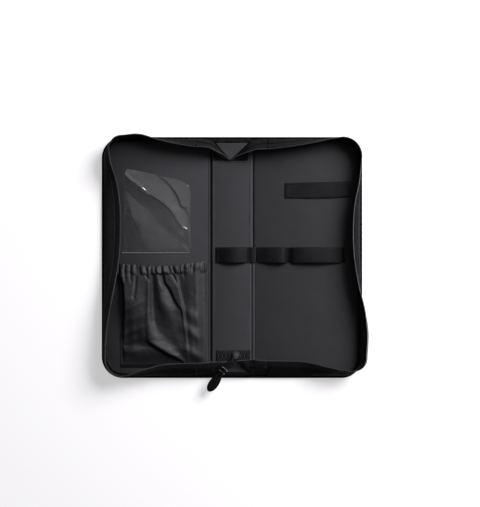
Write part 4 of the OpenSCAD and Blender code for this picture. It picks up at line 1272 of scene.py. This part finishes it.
# Crease lines of the film: (up from its sewn edge, across from the outer side, height)
FILM_LINES = [
    [(0, 0, 0.2), (80, 0, 0.4), (98, 0, 1.6), (108, 6, 1.0)],
    [(0, 2.5, 0.2), (54, 3, 0.4), (80, 1.2, 0.6), (98, 0.8, 1.7), (108, 6.5, 1.05)],
    [(0, 33, 0.8), (3, 32.2, 1.8), (20, 25, 2.0), (37, 17, 2.2), (54, 10.6, 1.9), (70, 6, 1.4),
     (98, 1.4, 1.8), (108, 7, 1.15)],
    [(0, 84, 0.3), (3, 83, 0.9), (11, 76.2, 1.1), (24, 63.4, 1.1), (37, 49, 1.2), (53, 37.8, 1.2),
     (64, 23.4, 1.2), (80, 4.2, 1.4), (98, 2.0, 1.9), (108, 7.5, 1.2)],
    [(0, 85.5, 0.2), (10, 84, 0.8), (22, 80, 1.5), (27, 80.5, 1.7), (31, 74.2, 1.8), (40, 67.8, 1.8),
     (51, 61.4, 1.8), (59, 53.4, 1.8), (65, 45.4, 1.8), (70, 33.5, 1.9), (80, 21, 2.1), (88, 10, 2.2),
     (97, 2.4, 2.2), (108, 8, 1.3)],
    [(0, 86.5, 0.2), (10, 86, 1.0), (22, 84.5, 2.4), (28, 83, 3.4), (31, 76.4, 4.4), (40, 70, 4.5),
     (51, 63.6, 4.5), (59, 55.6, 4.5), (65, 47.6, 4.5), (70, 35.7, 4.5), (80, 23.2, 4.6), (88, 12.2, 4.4),
     (97, 4, 3.9), (108, 9, 1.6)],
    [(0, 86.8, 0.2), (27, 85.6, 2.8), (44, 85.8, 2.6), (54, 80.5, 2.4), (57, 75.4, 2.2), (67, 72.0, 1.9),
     (76, 67.2, 1.8), (86, 59.2, 1.6), (93, 51.2, 1.5), (100, 44, 1.4), (108, 12, 1.4)],
    [(0, 87.1, 0.2), (27, 86.6, 2.7), (44, 86.8, 2.6), (54, 82.2, 2.8), (57, 76.8, 2.9), (67, 73.4, 2.7),
     (76, 68.6, 2.6), (86, 60.6, 2.4), (93, 52.6, 2.2), (100, 45.4, 1.8), (108, 13, 1.5)],
    [(0, 87.6, 0.15), (30, 87.6, 2.4), (40, 87.6, 2.8), (60, 87.6, 2.3), (80, 87.6, 1.4),
     (108, 87.6, 0.5)],
]
# The film's cut edge: (across, up)
FILM_TOP = ((0, 88), (4, 97), (6.5, 107.6), (40, 100.6), (56, 96), (74, 92.5), (82, 89), (86, 84), (88, 78))
# Sharp creases: points (across, up), height and half-width in millimetres
FILM_FOLDS = [
    ([(3.4, 98.6), (13.8, 90.2), (25.2, 82), (34.2, 72.6)], 1.5, 2.0),
    ([(33, 70.5), (35.4, 72.4), (39.4, 70.1), (47.4, 64.5), (55.4, 58.9), (63.4, 50.9), (69.8, 39.7),
      (76.2, 30.9)], -0.4, 0.6),
    ([(77, 30.5), (81, 29), (87, 28)], 0.5, 1.3),
    ([(72, 24), (78, 19), (85, 14)], 0.5, 4.0),
]
# Painted shade along the film's creases, where its sharp bends look dark: points (across, up), depth of the
# grey and half-width in millimetres
FILM_CREASE_SHADE = [
    ([(33, 70.1), (35.4, 72.2), (39.4, 70.1), (47.4, 64.5), (55.4, 58.9), (63.4, 50.9), (69.8, 39.7),
      (76.2, 30.9)], 0.9, 0.6),
    ([(86, 54.9), (76.2, 57.3), (73, 66.9), (68.2, 76.5), (60.2, 86.1), (52.2, 93.3)], 0.85, 0.55),
    ([(4, 80), (23.4, 63.7), (37.8, 52.5), (49, 36.5), (63.4, 23.7)], 0.28, 1.1),
    ([(2, 96), (13, 86), (24, 77.6), (33, 68)], 0.45, 0.7),
    ([(10.6, 54.1), (17, 36.5), (25, 20.5), (31.4, 4.5)], 0.22, 1.2),
]


def build_window():
    """The clear film card window, creased and lifting at its cut edge, with its row of stitches."""
    shares = np.linspace(0, 1, 131)
    tops = np.interp(shares * WINDOW_WIDE, *np.transpose(FILM_TOP))
    v = shares[:, None] * (tops - 1)
    left = np.interp(v, (0, 86, 98), (4.4, 3.6, 0.0))
    a = left + (WINDOW_WIDE - left) * shares
    height = np.vectorize(Relief(FILM_LINES).row)(a, v)
    for points, size, width in FILM_FOLDS:
        height += bump_line(a, v, points, size, width)
    height += 0.25 * waves(a, v, 16, 7.0) * np.minimum(1, v / 4)
    low = STACK + 0.15 + blurred(np.maximum(0.12, height), 2)
    film = slab("window_film", a - WINDOW_OUT, v + WINDOW_LOW + 1, low + 0.35, low, FILM)
    # Painted shade along the creases, stored on the film as its crease attribute.
    crease_shade = np.zeros_like(a)
    for points, depth, width in FILM_CREASE_SHADE:
        crease_shade = np.maximum(crease_shade, bump_line(a, v, points, depth, width))
    layer = film.data.attributes.new("crease", "FLOAT", "POINT")
    layer.data.foreach_set("value", np.hstack([crease_shade, crease_shade[:, ::-1]]).ravel())
    place(film, "left_cover", "clear_film", "card_window")
    line = [(v - WINDOW_OUT, WINDOW_LOW - 0.3, STACK + 0.12) for v in (0.5, WINDOW_WIDE - 0.5)]
    rows = flat_stitches(line, 2.5, 1.0, 0.75, 0.42)
    sew("window_thread", rows, PALE_THREAD, "left_cover", "window_stitches")


def build_spine_trim():
    """The stitched patch that holds the zip's parked end, the upper stitches and a dark strip of tape cloth
    under the top's folded-in ends.
    """
    low, high = -HALF_LENGTH + 21.5, -HALF_LENGTH + 36.0
    left, right = -20.0, SPINE_EDGE - 0.6
    x, y = np.meshgrid(edge_spaced(left, right, 1.5), edge_spaced(low, high, 1.2, (0.0, 0.15, 0.4, 0.8)))
    d = np.minimum(np.minimum(x - left, right - x), np.minimum(y - low, high - y))
    top = STACK + 0.95 - 0.4 * np.exp(-((d / 0.5) ** 2)) + 0.15 * waves(x, y, 4, 5.0) * ease(d / 2)
    patch = slab("zip_patch", x, y, top, STACK + 0.05, ELASTIC)
    place(patch, "spine", "elastic", "end_patch")

    parts = []
    z = STACK + 1.0
    for x0 in np.linspace(left + 1.2, right - 4.4, 9):
        for y0, y1 in ((low + 2.2, high - 2.2), (high - 2.2, low + 2.2)):
            parts += flat_stitches([(x0, y0, z), (x0 + 3.2, y1, z)], 2.1, 0.5, 0.5, 0.22)
    for y0 in (low + 1.4, high - 1.4):
        parts += flat_stitches([(left + 1, y0, z), (right - 1, y0, z)], 2.2, 0.7, 0.55, 0.22)
    sew("patch_stitches", parts, SATIN_THREAD, "spine")

    parts = []
    z = STACK + 0.08
    for y0 in (HALF_LENGTH - 30.6, HALF_LENGTH - 32.4):
        parts += flat_stitches([(-18, y0, z), (18.5, y0, z)], 2.4, 1.2, 0.65, 0.35)
    sew("end_thread", parts, DARK_THREAD, "spine", "end_stitches")

    # A dark strip of tape cloth on the spine lining, under the top's folded-in ends, which makes that place
    # dark.
    x, y = np.meshgrid(edge_spaced(-SPINE_EDGE + 0.6, SPINE_EDGE - 3.4, 2.0), np.linspace(123.8, 147.0, 12))
    top = STACK + 0.45 + 0.1 * waves(x, y, 7, 6.0)
    place(slab("dark_strip_under_ends", x, y, top, STACK + 0.05, TAPE_CLOTH), "spine", "zip_tape")


# The zip's pull: how far the puller has turned, and its knuckle at the ring
PULLER_TURN = 42.0
KNUCKLE = (-9.143, -141.465, 13.902)
RING_REACH = 5.2
# The leather tab: how far it droops and has turned on the ring, in degrees, and its size
TAB_DROP = 3.0
TAB_TURN = 6.0
TAB_LENGTH = 30.0
TAB_WIDTH = 12.6


def turned(a, b, degrees):
    angle = math.radians(degrees)
    return a * math.cos(angle) - b * math.sin(angle), a * math.sin(angle) + b * math.cos(angle)


def tab_place(point):
    """A point from the tab's own frame, X along it from the ring's far bar, to the part's frame."""
    x, y, z = point
    x, y = turned(x, y, TAB_TURN)
    x, z = turned(x + RING_REACH, z, -TAB_DROP)
    x, y = turned(x, y, -90 - PULLER_TURN)
    return np.array((x + KNUCKLE[0], y + KNUCKLE[1], z + KNUCKLE[2]))


def tab_half_width(x):
    half = TAB_WIDTH / 2
    shares = (-0.02, 0.03, 0.08, 0.2, 0.36, 0.54, 0.7, 0.83, 0.93, 0.985, 1.0)
    neck = (2.6, 2.6, 2.65)
    leaf = [half * share for share in (0.6, 0.86, 1.0, 0.98, 0.84, 0.58, 0.28)]
    return float(np.interp(x / TAB_LENGTH, shares, (*neck, *leaf, 0.02)))


def build_tab():
    """The leather leaf: two layers stitched round the edge, folded round the ring's bar."""
    stops = [0.0, 0.4, *np.linspace(1.0, TAB_LENGTH - 0.9, 44)]
    halves = [np.mean([tab_half_width(x + d) for d in (-1.2, -0.6, 0, 0.6, 1.2)]) for x in stops]
    tip = [TAB_LENGTH - 0.5, TAB_LENGTH - 0.2, TAB_LENGTH]
    halves += [tab_half_width(x) for x in tip]
    rings = []
    for x, half in zip(stops + tip, halves):
        top, bottom = [], []
        for c in np.sin(np.linspace(-math.pi / 2, math.pi / 2, 17)):
            d = min(half * (1 - abs(c)), TAB_LENGTH - x)
            groove = 0.16 * math.exp(-(((d - 1.5) / 0.35) ** 2))
            edge = 0.35 + 0.65 * math.sqrt(min(1.0, d / 0.7)) - groove
            puff = 0.22 * float(ease((d - 1.9) / 1.6))
            top.append(tab_place((x, c * half, max(0.25, edge + puff))))
            bottom.append(tab_place((x, c * half, -max(0.25, edge))))
        rings.append(top + bottom[::-1])
    collar = []
    for y in np.linspace(-2.5, 2.5, 9):
        swell = 1.78 if abs(y) < 2.4 else 1.6
        angles = [2 * math.pi * k / 20 for k in range(20)]
        collar.append([tab_place((swell * math.cos(a), y, swell * math.sin(a) * 0.95)) for a in angles])
    leaf = joined("leather_leaf", [loft_data(rings), loft_data(collar, "round")], LEATHER)
    place(leaf, "tab", "leather", "pull_tab")

    parts = []
    up = tab_place((0, 0, 1)) - tab_place((0, 0, 0))
    for side in (-1, 1):
        xs = np.linspace(6.8, TAB_LENGTH - 2.4, 40)
        line = [tab_place((x, side * (tab_half_width(x) - 1.5), 0.98)) for x in xs]
        parts += stitch_parts(line, [up] * len(line), 1.7, 0.7, 0.45, 0.2)
    sew("leaf_stitches", parts, DARK_THREAD, "tab")


def dress_metal():
    """The slider, puller, ring and rivet keep their CAD shape, with softened edges."""
    for node, width, metal in (
        ("zip_slider", 0.28, SATIN_METAL),
        ("puller", 0.25, BLACK_METAL),
        ("pull_ring", 0.3, METAL),
        ("tab_rivet", 0.2, BLACK_METAL),
    ):
        paint_node(node, metal)
        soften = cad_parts[node].modifiers.new("soften", "BEVEL")
        soften.width = width * MM
        soften.segments = 3
        soften.limit_method = "ANGLE"
        soften.angle_limit = math.radians(35)
        soften.use_clamp_overlap = True


# The photograph's light is a little pink
LIGHT_TINT = (1.0, 0.968, 1.03)
# The camera's height and the photograph's frame, in millimetres
CAMERA_HEIGHT = 1300.0
PHOTO_TALL = 507 * 1.28
PHOTO_MIDDLE = (10.24, 5.12)


def build_floor():
    """A white floor that keeps the object's shadow."""
    size, below = 3.0, -0.0003
    mesh = bpy.data.meshes.new("floor")
    corners = [(-size, -size, below), (size, -size, below), (size, size, below), (-size, size, below)]
    mesh.from_pydata(corners, [], [(0, 1, 2, 3)])
    paint = Material("floor", 0.9, 0.1, Emission_Color=(1, 1, 1, 1))
    paint.colour(paint.speckle(200), (0.86, 0.86, 0.86), (0.87, 0.87, 0.87))
    rays = paint.add("LightPath").outputs
    reflected = paint.math("MAXIMUM", rays["Is Glossy Ray"], rays["Is Transmission Ray"])
    glow = paint.math("MULTIPLY", paint.math("MAXIMUM", rays["Is Camera Ray"], reflected), 0.5)
    paint.link(glow, "Emission Strength")
    mesh.materials.append(paint.data)
    floor = in_scene("floor", mesh)


def build_lamp():
    """One soft lamp at the upper right, aimed at the middle of the case."""
    lamp = bpy.data.lights.new("key", "AREA")
    lamp.shape, lamp.size, lamp.energy = "SQUARE", 0.85, 28.5
    lamp.color = LIGHT_TINT
    key = in_scene("key", lamp)
    key.location = (0.91, 0.765, 0.92)
    key.rotation_euler = (-key.location).to_track_quat("-Z", "Y").to_euler()


def build_world():
    """White to the camera and dim to the cloth, with a glow at the upper right for gloss and film."""
    world = bpy.data.worlds.new("studio")
    bpy.context.scene.world = world
    world.use_nodes = True
    world.node_tree.nodes.clear()
    n = Nodes(world.node_tree)
    rays = n.add("LightPath").outputs
    plain = n.add("Background", {"Color": (*LIGHT_TINT, 1), "Strength": 0.07}).outputs[0]
    white = n.add("Background", {"Color": (1, 1, 1, 1), "Strength": 1.0}).outputs[0]
    direction = n.add("TexCoord").outputs["Generated"]
    upper_right = n.add("VectorMath", {0: direction, 1: (0.62, 0.785, 0.0)}, operation="DOT_PRODUCT")
    toward = upper_right.outputs["Value"]
    upward = n.add("SeparateXYZ", {0: direction}).outputs["Z"]
    near = n.ramp(toward, -0.17, 0.19, 0.02, 0.5, interpolation_type="SMOOTHSTEP")
    far = n.ramp(toward, 0.2, 0.6, 0.0, 0.4, interpolation_type="SMOOTHSTEP")
    low = n.ramp(upward, 0.0, 0.3, 0.3, 0.0, interpolation_type="SMOOTHSTEP")
    glow = n.math("ADD", n.math("ADD", near, far), low)
    sky = n.add("Background", {"Color": (*LIGHT_TINT, 1), "Strength": glow}).outputs[0]
    reflected = n.math("MAXIMUM", rays["Is Glossy Ray"], rays["Is Transmission Ray"])
    unseen = n.add("MixShader", {0: reflected, 1: plain, 2: sky}).outputs[0]
    final = n.add("MixShader", {0: rays["Is Camera Ray"], 1: unseen, 2: white}).outputs[0]
    n.add("OutputWorld", {"Surface": final})


def build_camera():
    """The camera straight above the middle of the photograph."""
    camera = bpy.data.cameras.new("camera")
    camera.sensor_width = 36.0
    camera.lens = camera.sensor_width * CAMERA_HEIGHT / PHOTO_TALL
    camera.clip_end = 20
    eye = in_scene("camera", camera)
    eye.location = [v * MM for v in (*PHOTO_MIDDLE, CAMERA_HEIGHT)]
    bpy.context.scene.camera = eye
    bpy.context.scene.view_settings.view_transform = "Standard"


build_floor()
build_lamp()
build_world()
build_camera()
build_panels()
build_piping()
build_fold_strips()
build_ends()
cover_wall(-1, LEFT_LEAN, "left_cover", ("left_wall", "left_zip_tape", "left_zip_coil"))
cover_wall(1, RIGHT_LEAN, "right_cover", ("right_wall", "right_zip_tape", "right_zip_coil"))
build_bands()
build_strap()
build_pocket()
build_window()
build_spine_trim()
build_tab()
dress_metal()
